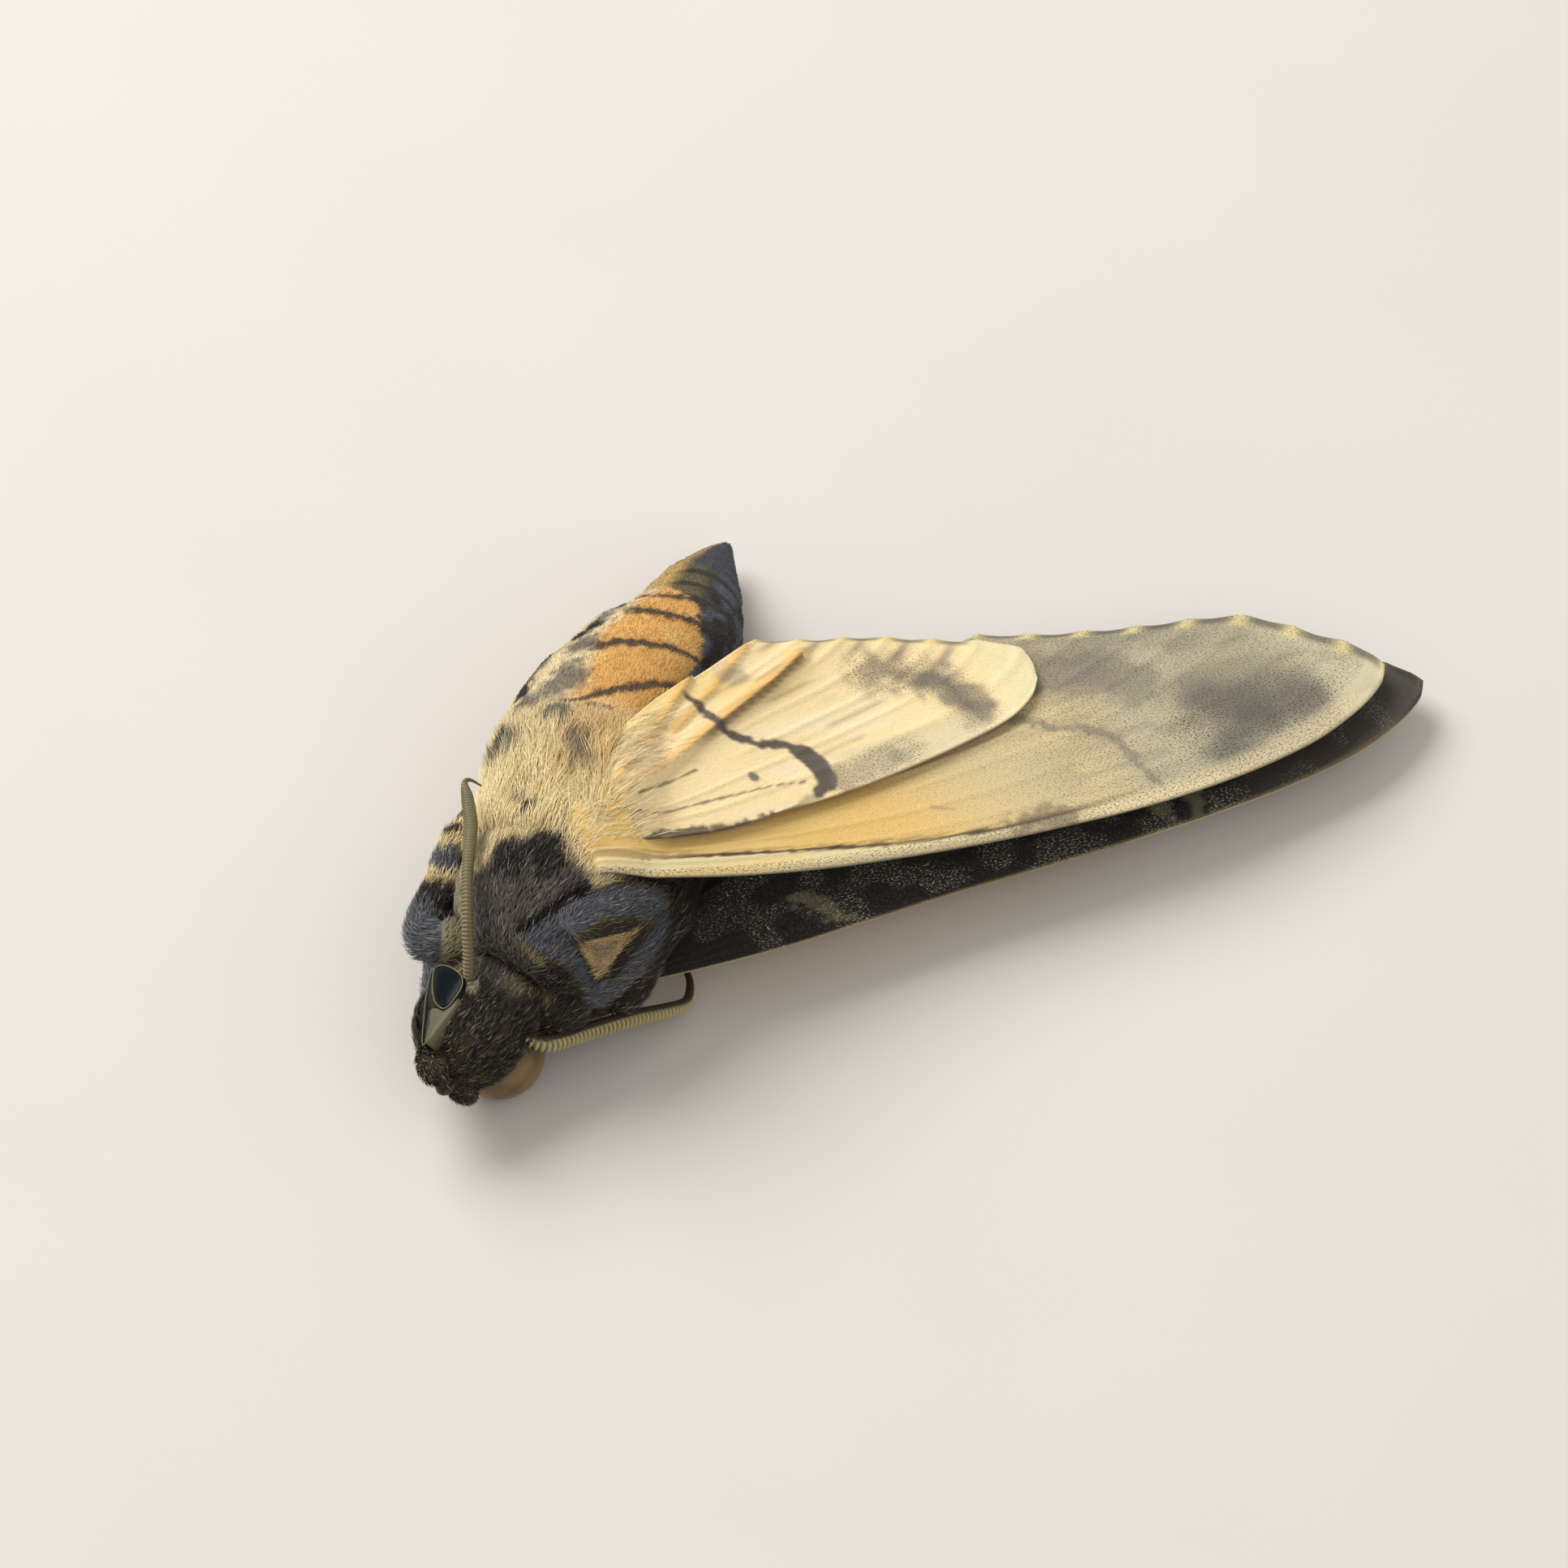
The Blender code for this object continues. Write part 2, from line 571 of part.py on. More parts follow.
def head_core(extra=0.0, slot=None):
    forward, right, dorsal = head_frame()
    return ellipsoid("head", HEAD_CENTRE, [forward * HEAD_LENGTH, right * HEAD_HALF_WIDTH, dorsal * HEAD_HALF_DEPTH],
                     slot, extra, 24, 12)


def right_eye_axes():
    """The right eye has dried and fallen in, so it is a flat lens set along the cheek."""
    forward, right, dorsal = head_frame()
    long_half, wide_half, deep_half = RIGHT_EYE_HALF
    return [(forward - dorsal * 0.15).normalized() * long_half, dorsal * wide_half, right * deep_half]


def head_lobes(extra=0.0):
    """The crown behind the eyes and the snout in front of them."""
    forward, right, dorsal = head_frame()
    crown = ellipsoid("crown", HEAD_CENTRE - forward * 1.6 + dorsal * 0.7,
                      [forward * 2.9, right * 3.1, dorsal * 3.2], extra=extra)
    snout = ellipsoid("snout", HEAD_CENTRE + forward * 1.9, [forward * 1.9, right * 2.6, dorsal * 2.4], extra=extra)
    return [crown, snout]


def eye_cutters():
    """Both eyes grown by the gap, for the sockets and for what passes near them."""
    axes = [(EYE_RADIUS, 0, 0), (0, EYE_RADIUS, 0), (0, 0, EYE_RADIUS)]
    return [ellipsoid("socket_left", LEFT_EYE, axes, extra=GAP),
            ellipsoid("socket_right", RIGHT_EYE, right_eye_axes(), extra=GAP)]


def head():
    made = head_core(slot="dark_fur")
    boolean(made, head_lobes(), "UNION")
    return boolean(made, eye_cutters() + [thorax_core(GAP), floor_cutter()], "DIFFERENCE")


def head_cutters():
    """The head and the eyes grown by the gap."""
    return [head_core(GAP), *head_lobes(GAP), *eye_cutters()]


def eyes():
    left = ellipsoid("eye_left", LEFT_EYE, [(EYE_RADIUS, 0, 0), (0, EYE_RADIUS, 0), (0, 0, EYE_RADIUS)], "eye")
    boolean(left, [floor_cutter()], "DIFFERENCE")
    ellipsoid("eye_right", RIGHT_EYE, right_eye_axes(), "eye_dark")


def antenna(name):
    """A thick feeler of many short rings, with a hooked tip."""
    def swell(i, count):
        return 1.0 + (0.12 if i % 2 else -0.04)

    made = tube(name, ANTENNAE[name], 8, ANTENNA_SEGMENTS, "chitin", swell=swell)
    return boolean(made, head_cutters(), "DIFFERENCE")


def leg(name):
    """A folded leg: thick thigh, shin, and a foot that thins to its claws."""
    made = tube(name, LEGS[name], 8, 15, "dark_fur")
    return boolean(made, [thorax_core(GAP), *head_cutters()], "DIFFERENCE")


def in_head(point):
    """A world point from forward, sideways and dorsal millimetres of the head's centre."""
    forward, right, dorsal = head_frame()
    return HEAD_CENTRE + forward * point[0] + right * point[1] + dorsal * point[2]


def palp(side):
    sign = 1 if side == "right" else -1
    points = [(*in_head((row[0], sign * row[1], row[2])), row[3]) for row in PALP]
    made = tube(f"palp_{side}", points, 10, 8, "dark_fur")
    return boolean(made, head_cutters(), "DIFFERENCE")


def proboscis():
    """The short thick tongue, coiled between the palps."""
    steps = 12
    points = []
    for i in range(steps + 1):
        turn = math.tau * PROBOSCIS_TURNS * i / steps
        reach = PROBOSCIS_COIL * (1 - 0.15 * i / steps)
        place = (HEAD_LENGTH + 0.5 - reach * math.cos(turn), 0.15 * i / steps - 0.1, reach * math.sin(turn) - 0.2)
        points.append((*in_head(place), PROBOSCIS_RADIUS * (1 - 0.25 * i / steps)))
    made = tube("proboscis", points, 8, 14, "chitin")
    return boolean(made, head_cutters(), "DIFFERENCE")


def main():
    for old in list(bpy.data.objects):
        bpy.data.objects.remove(old)
    thorax()
    abdomen()
    head()
    eyes()
    for name in ANTENNAE:
        antenna(name)
    for name in LEGS:
        leg(name)
    for side in TEGULAE:
        palp(side)
    proboscis()
    for name in WINGS:
        boolean(wing(name), shoulder_cutters() + [floor_cutter()], "DIFFERENCE")
    for made in bpy.data.objects:
        made.data.transform(Matrix.Translation(-RESTING_PLACE * MM))
        made.data.shade_smooth()
        made.data.set_sharp_from_angle(angle=math.radians(50))


main()
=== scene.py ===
"""The finer shapes, coat and finishes of the dried death's head hawkmoth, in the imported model's frame."""

import math

import bpy
import numpy as np
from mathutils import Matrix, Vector


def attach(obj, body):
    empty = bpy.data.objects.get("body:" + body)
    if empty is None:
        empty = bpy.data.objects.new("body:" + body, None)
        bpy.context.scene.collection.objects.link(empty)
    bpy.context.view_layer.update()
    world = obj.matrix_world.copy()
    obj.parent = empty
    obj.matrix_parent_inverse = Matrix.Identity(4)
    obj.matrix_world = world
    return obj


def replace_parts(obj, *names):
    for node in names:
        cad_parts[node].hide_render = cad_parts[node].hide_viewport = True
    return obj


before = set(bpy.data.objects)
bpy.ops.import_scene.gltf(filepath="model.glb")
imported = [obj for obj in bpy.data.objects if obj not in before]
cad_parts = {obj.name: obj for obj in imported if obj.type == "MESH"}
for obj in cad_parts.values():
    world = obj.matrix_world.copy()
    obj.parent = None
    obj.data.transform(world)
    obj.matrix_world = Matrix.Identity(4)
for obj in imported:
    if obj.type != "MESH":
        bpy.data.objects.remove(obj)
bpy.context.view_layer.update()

# Lengths below are millimetres in the drawing of the model, whose origin lies at RESTING_PLACE in it
RESTING_PLACE = np.array((2.8, 3.95, 0.0))
SEED = 7

# The body's centre line: x, y, z, and the radius across it
BODY_STATIONS = [
    (-0.5, -4.3, 5.8, 3.0),
    (0.0, -3.6, 6.0, 4.7),
    (1.2, -1.8, 6.15, 6.0),
    (2.5, 0.3, 6.3, 6.45),
    (3.1, 2.8, 6.3, 6.45),
    (3.3, 5.4, 6.05, 6.2),
    (3.4, 8.0, 5.7, 5.8),
    (3.9, 11.0, 5.35, 5.5),
    (4.9, 14.2, 5.2, 5.35),
    (6.6, 17.6, 4.75, 4.8),
    (8.4, 20.4, 4.2, 4.0),
    (9.8, 25.4, 2.95, 2.65),
    (10.7, 28.4, 2.2, 1.35),
    (11.4, 30.1, 1.85, 0.35),
]
# The abdomen's rings: the station of each dark edge on its flank, and how far the edge leans
SEGMENT_EDGES = [(9.0, 0.5), (11.15, 1.5), (13.85, 1.0), (16.1, 0.7), (17.5, 0.3), (18.6, 0.1), (19.7, 0.0),
                 (21.2, 0.0)]
BODY_STEPS = 240
BODY_STEP_LENGTH = 0.156
DORSAL = np.array((0.82, -0.26, 0.5))
BACK_MIDDLE = 6.0

HEAD_CENTRE = np.array((-2.8, -7.3, 4.9))
HEAD_RIGHT = np.array((-0.549, 0.039, 0.833))
HEAD_FORWARD = np.array((-0.42, -0.9, -0.06))
HEAD_HALF = (3.5, 3.7, 3.4)
LEFT_EYE = np.array((-1.4, -7.3, 2.58))
LEFT_EYE_RADIUS = 2.7
RIGHT_EYE = np.array((-4.35, -7.0, 6.9))
# Forward, sideways and dorsal of the head's centre, with the radius there
PALP = [(2.0, 1.3, -0.9, 0.9), (3.1, 1.75, -0.3, 1.1), (3.9, 1.75, 0.5, 1.05), (4.3, 1.65, 1.2, 0.6)]
PROBOSCIS_RADIUS = 0.36
PROBOSCIS_COIL = 0.55
PROBOSCIS_TURNS = 0.86

# The shoulder plates, with half sizes along, out of the body and across
TEGULAE = {
    "right": {"centre": (5.5, -2.3, 9.6), "along": (6.7, 5.4, -3.0), "out": (0.66, -0.24, 0.71),
              "half": (4.5, 1.9, 1.9)},
    "left": {"centre": (6.5, -3.0, 5.8), "along": (4.1, 3.1, 2.8), "out": (0.92, -0.39, -0.07),
             "half": (3.7, 1.7, 1.5)},
}
# Centre lines of legs and feelers: x, y, z, and the radius there
LEGS = {
    "leg_fore_right": [(-1.6, -2.4, 6.2, 1.3), (-3.9, -2.4, 6.6, 1.45), (-5.4, -2.1, 6.2, 1.35),
                       (-5.6, -0.6, 6.3, 1.15), (-4.8, 1.6, 6.4, 1.1), (-4.2, 4.6, 6.4, 0.95),
                       (-3.7, 6.0, 6.3, 0.7), (-3.4, 7.2, 6.2, 0.45)],
    "leg_mid_right": [(-1.4, -0.6, 3.9, 1.2), (-3.7, -1.2, 3.6, 1.2), (-4.9, 0.2, 3.7, 1.0),
                      (-4.4, 3.2, 3.8, 0.95), (-3.8, 6.0, 3.8, 0.8), (-3.2, 8.2, 3.7, 0.6),
                      (-2.7, 9.6, 3.6, 0.4)],
    "leg_hind_right": [(0.2, 6.8, 2.9, 0.8), (-1.9, 6.8, 2.2, 0.8), (-2.0, 9.4, 2.1, 0.68),
                       (-1.5, 12.5, 1.9, 0.58), (-0.7, 16.0, 1.7, 0.45), (0.0, 18.2, 1.6, 0.3)],
    "leg_fore_left": [(-0.2, -3.0, 2.6, 1.0), (-3.0, -3.4, 1.4, 1.1), (-4.9, -2.6, 1.3, 1.0),
                      (-5.0, 0.0, 1.35, 0.95), (-4.6, 3.0, 1.35, 0.85), (-4.4, 5.4, 1.2, 0.6),
                      (-4.3, 6.8, 1.1, 0.4)],
    "leg_mid_left": [(0.4, -0.6, 1.6, 0.9), (-1.8, -0.8, 1.15, 0.95), (-2.6, 1.0, 1.2, 0.85),
                     (-2.3, 3.2, 1.2, 0.75), (-2.2, 4.6, 1.1, 0.55), (-2.2, 5.6, 1.1, 0.4)],
    "leg_hind_left": [(1.2, 7.0, 1.2, 0.7), (-0.6, 7.6, 0.85, 0.66), (-0.5, 10.2, 0.8, 0.56),
                      (-0.1, 13.5, 0.75, 0.48), (0.6, 16.5, 0.7, 0.4), (1.1, 18.6, 0.6, 0.3)],
}
ANTENNAE = {
    "antenna_right": [(-2.9, -6.6, 7.0, 0.30), (-2.85, -5.9, 8.9, 0.36), (-2.9, -4.1, 10.9, 0.35),
                      (-2.95, -1.6, 11.7, 0.35), (-2.85, 2.0, 11.3, 0.42), (-3.1, 4.4, 10.9, 0.38),
                      (-3.35, 5.6, 10.8, 0.22), (-3.05, 6.0, 10.6, 0.13), (-2.4, 5.8, 10.3, 0.06)],
    "antenna_left": [(-0.2, -7.7, 5.3, 0.36), (1.35, -8.1, 4.8, 0.46), (3.6, -6.8, 4.1, 0.48),
                     (6.0, -5.4, 3.4, 0.47), (8.0, -4.1, 2.3, 0.42), (9.2, -2.9, 1.4, 0.34),
                     (9.4, -1.4, 1.25, 0.26), (9.0, -0.4, 1.2, 0.2), (8.4, -0.2, 1.15, 0.1)],
}
ANTENNA_RINGS = {"antenna_right": 70, "antenna_left": 54}

# Wing outlines in plan: millimetres along the wing from its base, and across it
FORE_COSTA = [(-3.4, 0.4), (0.0, -0.6), (7.2, -1.8), (17.0, -2.6), (26.7, -3.7), (35.0, -4.2), (42.5, -3.5),
              (46.6, -2.2), (49.3, -0.6), (50.3, 0.8)]
FORE_TERMEN = [(50.3, 0.8), (50.1, 2.1), (49.1, 3.5), (47.3, 5.4), (44.8, 7.8), (41.5, 8.9), (37.8, 9.7),
               (33.6, 10.8), (29.2, 12.2)]
FORE_INNER = [(-3.0, 3.2), (3.0, 4.6), (12.0, 7.4), (22.0, 10.2), (29.2, 12.2)]
HIND_COSTA = [(-3.2, -0.6), (1.0, -2.3), (6.0, -3.1), (12.0, -2.7), (18.0, -2.3), (23.0, -1.9), (26.6, -1.4),
              (28.7, -0.5), (29.8, 0.6)]
HIND_TERMEN = [(29.8, 0.6), (30.4, 2.2), (29.9, 3.8), (28.1, 4.9), (23.6, 6.8), (21.3, 7.5), (18.1, 8.2),
               (15.5, 8.9)]
HIND_INNER = [(-3.0, 1.5), (0.4, 2.2), (2.1, 3.9), (4.0, 5.2), (5.6, 5.9), (8.6, 7.0), (11.0, 7.6),
              (13.6, 8.4), (15.5, 8.9)]
WINGS = {
    "forewing_right": {"base": (4.4, -1.2), "heading": 23.75, "span": 1.0, "chord": 1.0, "fore": True},
    "hindwing_right": {"base": (4.2, 2.3), "heading": 30.3, "span": 1.0, "chord": 1.0, "fore": False},
    "forewing_left": {"base": (8.3, -2.8), "heading": 26.9, "span": 0.985, "chord": 0.86, "fore": True},
    "hindwing_left": {"base": (8.4, 1.2), "heading": 31.0, "span": 0.97, "chord": 0.9, "fore": False},
}
FORE_VEINS = 8
HIND_VEINS = 7
WING_SHEET = 0.2
LAYER_STEP = 0.62

# The skin's lowest level, the voxels it is made of in metres, and the painted shade that darkens it beside
# the coat's colour, as it lies beneath the coat
SKIN_FLOOR = 0.06
SKIN_VOXEL = 0.00017
SKIN_SHADE = 0.9
# Tufts a square millimetre by part, and half widths
THORAX_TUFTS = 105.0
ABDOMEN_TUFTS = 44.0
HEAD_TUFTS = 85.0
LEG_TUFTS = 60.0
TUFT_WIDTH = 0.031
HAIR_WIDTH = 0.021
HAIR_COLOUR = (252, 232, 184)

# The photo's view, in metres and degrees: what it aims at, how far off, how steep and half the width it shows
VIEW_TARGET = (14.8, 13.7, 0.0)
VIEW_DISTANCE = 0.43
VIEW_RISE = 53
VIEW_HALF_WIDTH = 0.046
# Each lamp's name, place and side in metres, and power in watts
LAMPS = [("window", (-0.35, 0.35, 0.55), 0.5, 5.6), ("fill", (0.4, -0.5, 0.6), 0.8, 1.6)]


def srgb(red, green, blue):
    """A linear colour from the usual 0 to 255 values."""
    values = np.array((red, green, blue)) / 255
    return np.where(values < 0.04045, values / 12.92, ((values + 0.055) / 1.055) ** 2.4)


CREAM = srgb(241, 219, 168)
CREAM_PALE = srgb(242, 222, 184)
OCHRE = srgb(222, 184, 108)
ORANGE = srgb(228, 175, 100)
OLIVE_GREY = srgb(158, 153, 130)
SMOKE = srgb(110, 102, 92)
SOOT = srgb(44, 39, 36)
BROWN_BLACK = srgb(58, 50, 42)
LOBE = srgb(90, 83, 77)
BLUE_GREY = srgb(97, 98, 104)
OLIVE = srgb(128, 115, 70)
OLIVE_CREAM = srgb(158, 147, 112)
TAN = srgb(198, 168, 120)
MAUVE = srgb(162, 141, 117)
FACE = srgb(56, 51, 42)


# Numbers and curves


def unit(rows):
    return rows / np.maximum(np.linalg.norm(rows, axis=-1, keepdims=True), 1e-9)


def ramp(low, high, values):
    """0 at low, 1 at high, and smooth between them."""
    share = np.clip((values - low) / (high - low), 0, 1)
    return share * share * (3 - 2 * share)


def noise(points, size, seed):
    """Smooth random values between 0 and 1 over space, with features of about one size."""
    table = np.random.default_rng(seed).random((32, 32, 32))
    places = np.column_stack([points, np.zeros(len(points))]) if points.shape[1] == 2 else points
    places = places / size
    low = np.floor(places).astype(int)
    part = places - low
    part = part * part * (3 - 2 * part)
    total = np.zeros(len(points))
    for corner in range(8):
        step = np.array([(corner >> axis) & 1 for axis in range(3)])
        share = np.prod(np.where(step, part, 1 - part), axis=1)
        cell = (low + step) % 32
        total += share * table[cell[:, 0], cell[:, 1], cell[:, 2]]
    return total


def smooth_path(points, count):
    """Points at even steps along a Catmull-Rom curve through rows of numbers."""
    rows = np.array(points, float)
    rows = np.vstack([2 * rows[0] - rows[1], rows, 2 * rows[-1] - rows[-2]])
    spans = len(points) - 1
    fine = []
    for step in np.linspace(0, spans, 24 * spans + 1):
        i = min(int(step), spans - 1)
        t = step - i
        a, b, c, d = rows[i : i + 4]
        low = 2 * b + (c - a) * t + (2 * a - 5 * b + 4 * c - d) * t**2
        fine.append(0.5 * (low + (3 * b - a - 3 * c + d) * t**3))
    fine = np.array(fine)
    gone = np.concatenate([[0], np.cumsum(np.linalg.norm(np.diff(fine[:, :3], axis=0), axis=1))])
    at = np.linspace(0, gone[-1], count)
    return np.stack([np.interp(at, gone, fine[:, k]) for k in range(rows.shape[1])], axis=1)


def path_axes(rows):
    """Tangent, lateral and dorsal unit vectors along a centre line. Lateral points to the animal's right."""
    tangent = unit(np.gradient(rows[:, :3], axis=0))
    dorsal = unit(unit(DORSAL) - tangent * (tangent @ unit(DORSAL))[:, None])
    return tangent, np.cross(dorsal, tangent), dorsal


def line_distance(points, line, signed=False):
    """How far points are from a line of straight stretches. Signed, in plan, it's positive on the left."""
    corners = np.array(line, float)
    if len(corners) == 1:
        return np.linalg.norm(points - corners[0], axis=1)
    best = np.full(len(points), 1e9)
    side = np.ones(len(points))
    for a, b in zip(corners[:-1], corners[1:]):
        reach = np.clip((points - a) @ (b - a) / ((b - a) @ (b - a)), 0, 1)
        off = points - a - reach[:, None] * (b - a)
        apart = np.linalg.norm(off, axis=1)
        closer = apart < best
        best[closer] = apart[closer]
        if signed:
            side[closer] = np.sign((b - a)[0] * off[closer, 1] - (b - a)[1] * off[closer, 0])
    return best * side


def lay(colour, share, paint):
    """Lays a paint over colours by its share at each point."""
    colour += np.clip(share, 0, 1)[:, None] * (np.asarray(paint) - colour)


def stroke(points, line, width, soft, ragged=0.0, seed=3, grain=0.5):
    """1 within a width of a line, falling to 0 over the soft edge, which may be ragged."""
    apart = line_distance(points, line)
    if ragged:
        apart = apart + ragged * (2 * noise(points, grain, seed) - 1)
    return 1 - ramp(width, width + soft, apart)


BODY = smooth_path(BODY_STATIONS, BODY_STEPS + 1)
BODY_TANGENT, BODY_RIGHT, BODY_DORSAL = path_axes(BODY)
HEAD_RIGHT = unit(HEAD_RIGHT)
HEAD_FORWARD = unit(HEAD_FORWARD - HEAD_RIGHT * (HEAD_FORWARD @ HEAD_RIGHT))
HEAD_DORSAL = np.cross(HEAD_RIGHT, HEAD_FORWARD)
HEAD_AXES = (HEAD_FORWARD, HEAD_RIGHT, HEAD_DORSAL)
# The head's core, crown and snout: centres and half sizes
HEAD_EGGS = [
    (HEAD_CENTRE, HEAD_HALF),
    (HEAD_CENTRE - HEAD_FORWARD * 1.6 + HEAD_DORSAL * 0.7, (2.9, 3.1, 3.2)),
    (HEAD_CENTRE + HEAD_FORWARD * 1.9, (1.9, 2.6, 2.4)),
]
LEG_PATHS = [smooth_path(points, 60) for points in LEGS.values()]


def nearest_row(points, rows):
    """For each point, the row of a centre line whose ball is nearest, and the distance from that ball."""
    gap = np.full(len(points), 1e9)
    at = np.zeros(len(points), int)
    for i, row in enumerate(rows):
        here = np.linalg.norm(points - row[:3], axis=1) - row[3]
        closer = here < gap
        gap[closer] = here[closer]
        at[closer] = i
    return at, gap


def body_place(points):
    """Stations along the body, degrees round it from the back, and the outward direction."""
    best = np.full(len(points), 1e9)
    at = np.zeros(len(points), int)
    for i in range(0, BODY_STEPS + 1, 2):
        here = np.linalg.norm(points - BODY[i, :3], axis=1)
        closer = here < best
        best[closer] = here[closer]
        at[closer] = i
    off = points - BODY[at, :3]
    ahead = np.einsum("ij,ij->i", off, BODY_TANGENT[at])
    station = np.clip(at + ahead / BODY_STEP_LENGTH, 0, BODY_STEPS) / 10
    across = np.einsum("ij,ij->i", off, BODY_RIGHT[at])
    above = np.einsum("ij,ij->i", off, BODY_DORSAL[at])
    return station, np.degrees(np.arctan2(across, above)), at


def mirrored(points):
    """Points of the left flank moved to their mirror places on the right one."""
    _, angle, at = body_place(points)
    turn = math.radians(BACK_MIDDLE)
    across = BODY_RIGHT[at] * math.cos(turn) - BODY_DORSAL[at] * math.sin(turn)
    side = np.einsum("ij,ij->i", points - BODY[at, :3], across)
    return points - across * (2 * np.minimum(side, 0))[:, None]


# Meshes


def mesh_object(name, points, faces, material, slot):
    """A smooth mesh from drawing millimetres and an array, or a list of arrays, of faces of equal size."""
    groups = [faces] if isinstance(faces, np.ndarray) else faces
    mesh = bpy.data.meshes.new(name)
    mesh.vertices.add(len(points))
    mesh.vertices.foreach_set("co", ((points - RESTING_PLACE) * 0.001).astype(np.float32).ravel())
    corners = np.concatenate([g.ravel() for g in groups]).astype(np.int32)
    sizes = np.concatenate([np.full(len(g), g.shape[1]) for g in groups])
    mesh.loops.add(len(corners))
    mesh.loops.foreach_set("vertex_index", corners)
    mesh.polygons.add(len(sizes))
    mesh.polygons.foreach_set("loop_start", np.concatenate([[0], np.cumsum(sizes)[:-1]]).astype(np.int32))
    mesh.polygons.foreach_set("use_smooth", np.full(len(sizes), True))
    mesh.update(calc_edges=True)
    mesh.validate()
    made = bpy.data.objects.new(name, mesh)
    bpy.context.scene.collection.objects.link(made)
    mesh.materials.append(material)
    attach(made, "root")
    return made


def set_colour(made, name, colour):
    layer = made.data.color_attributes.new(name, "FLOAT_COLOR", "POINT")
    values = np.column_stack([colour, np.ones(len(colour))]).astype(np.float32)
    layer.data.foreach_set("color", values.ravel())


def set_values(made, name, kind, key, values):
    layer = made.data.attributes.new(name, kind, "POINT")
    layer.data.foreach_set(key, np.asarray(values, np.float32).ravel())


def ring_faces(rings, sides):
    """Quads between rings of equal count, wound to face outward for rings that turn from right to back."""
    a = np.arange(rings - 1)[:, None] * sides + np.arange(sides)
    b = np.arange(rings - 1)[:, None] * sides + (np.arange(sides) + 1) % sides
    return np.stack([a, b, b + sides, a + sides], axis=-1).reshape(-1, 4)


def fans(middle, rings, sides):
    """Triangles that close the ends of rings round two middle points, which are numbered from middle."""
    s = np.arange(sides)
    after = (s + 1) % sides
    base = (rings - 1) * sides
    start = np.column_stack([after, s, np.full(sides, middle)])
    end = np.column_stack([base + s, base + after, np.full(sides, middle + 1)])
    return np.vstack([start, end])


def capped(points, rings, sides):
    """Loft points with a middle point added at each end, and the fans that close them."""
    middles = points[:sides].mean(axis=0), points[-sides:].mean(axis=0)
    return np.vstack([points, *middles]), fans(len(points), rings, sides)


def spokes(axes, sides):
    """Unit directions round each row of a centre line, from the back towards the right."""
    turn = np.linspace(0, math.tau, sides, endpoint=False)[None, :, None]
    return axes[2][:, None, :] * np.cos(turn) + axes[1][:, None, :] * np.sin(turn)


def loft(rows, axes, radii, sides):
    """A closed tube's points and faces round centre points. Radii may differ by ring and side."""
    radii = radii if radii.ndim == 2 else radii[:, None]
    points = (rows[:, None, :3] + spokes(axes, sides) * radii[..., None]).reshape(-1, 3)
    points, ends = capped(points, len(rows), sides)
    return points, [ring_faces(len(rows), sides)[:, ::-1], ends[:, ::-1]]


def egg(centre, axes, sides=40, rings=24):
    """A closed ellipsoid's points and faces from three half axes."""
    half = np.array(axes, float)
    polar = np.linspace(0, math.pi, rings + 1)[1:-1, None, None]
    turn = np.linspace(0, math.tau, sides, endpoint=False)[None, :, None]
    body = np.cos(polar) * half[0] + np.sin(polar) * (np.cos(turn) * half[1] + np.sin(turn) * half[2])
    points = body.reshape(-1, 3) + centre
    faces = [ring_faces(rings - 1, sides), fans(len(points), rings - 1, sides)]
    return np.vstack([points, centre + half[0], centre - half[0]]), faces


def joined(pieces):
    """Several sets of points and faces as one."""
    points, quads, fans = [], [], []
    start = 0
    for piece, faces in pieces:
        points.append(piece)
        for group in faces:
            (quads if group.shape[1] == 4 else fans).append(group + start)
        start += len(piece)
    return np.vstack(points), [np.vstack(group) for group in (quads, fans) if group]


# Finishes


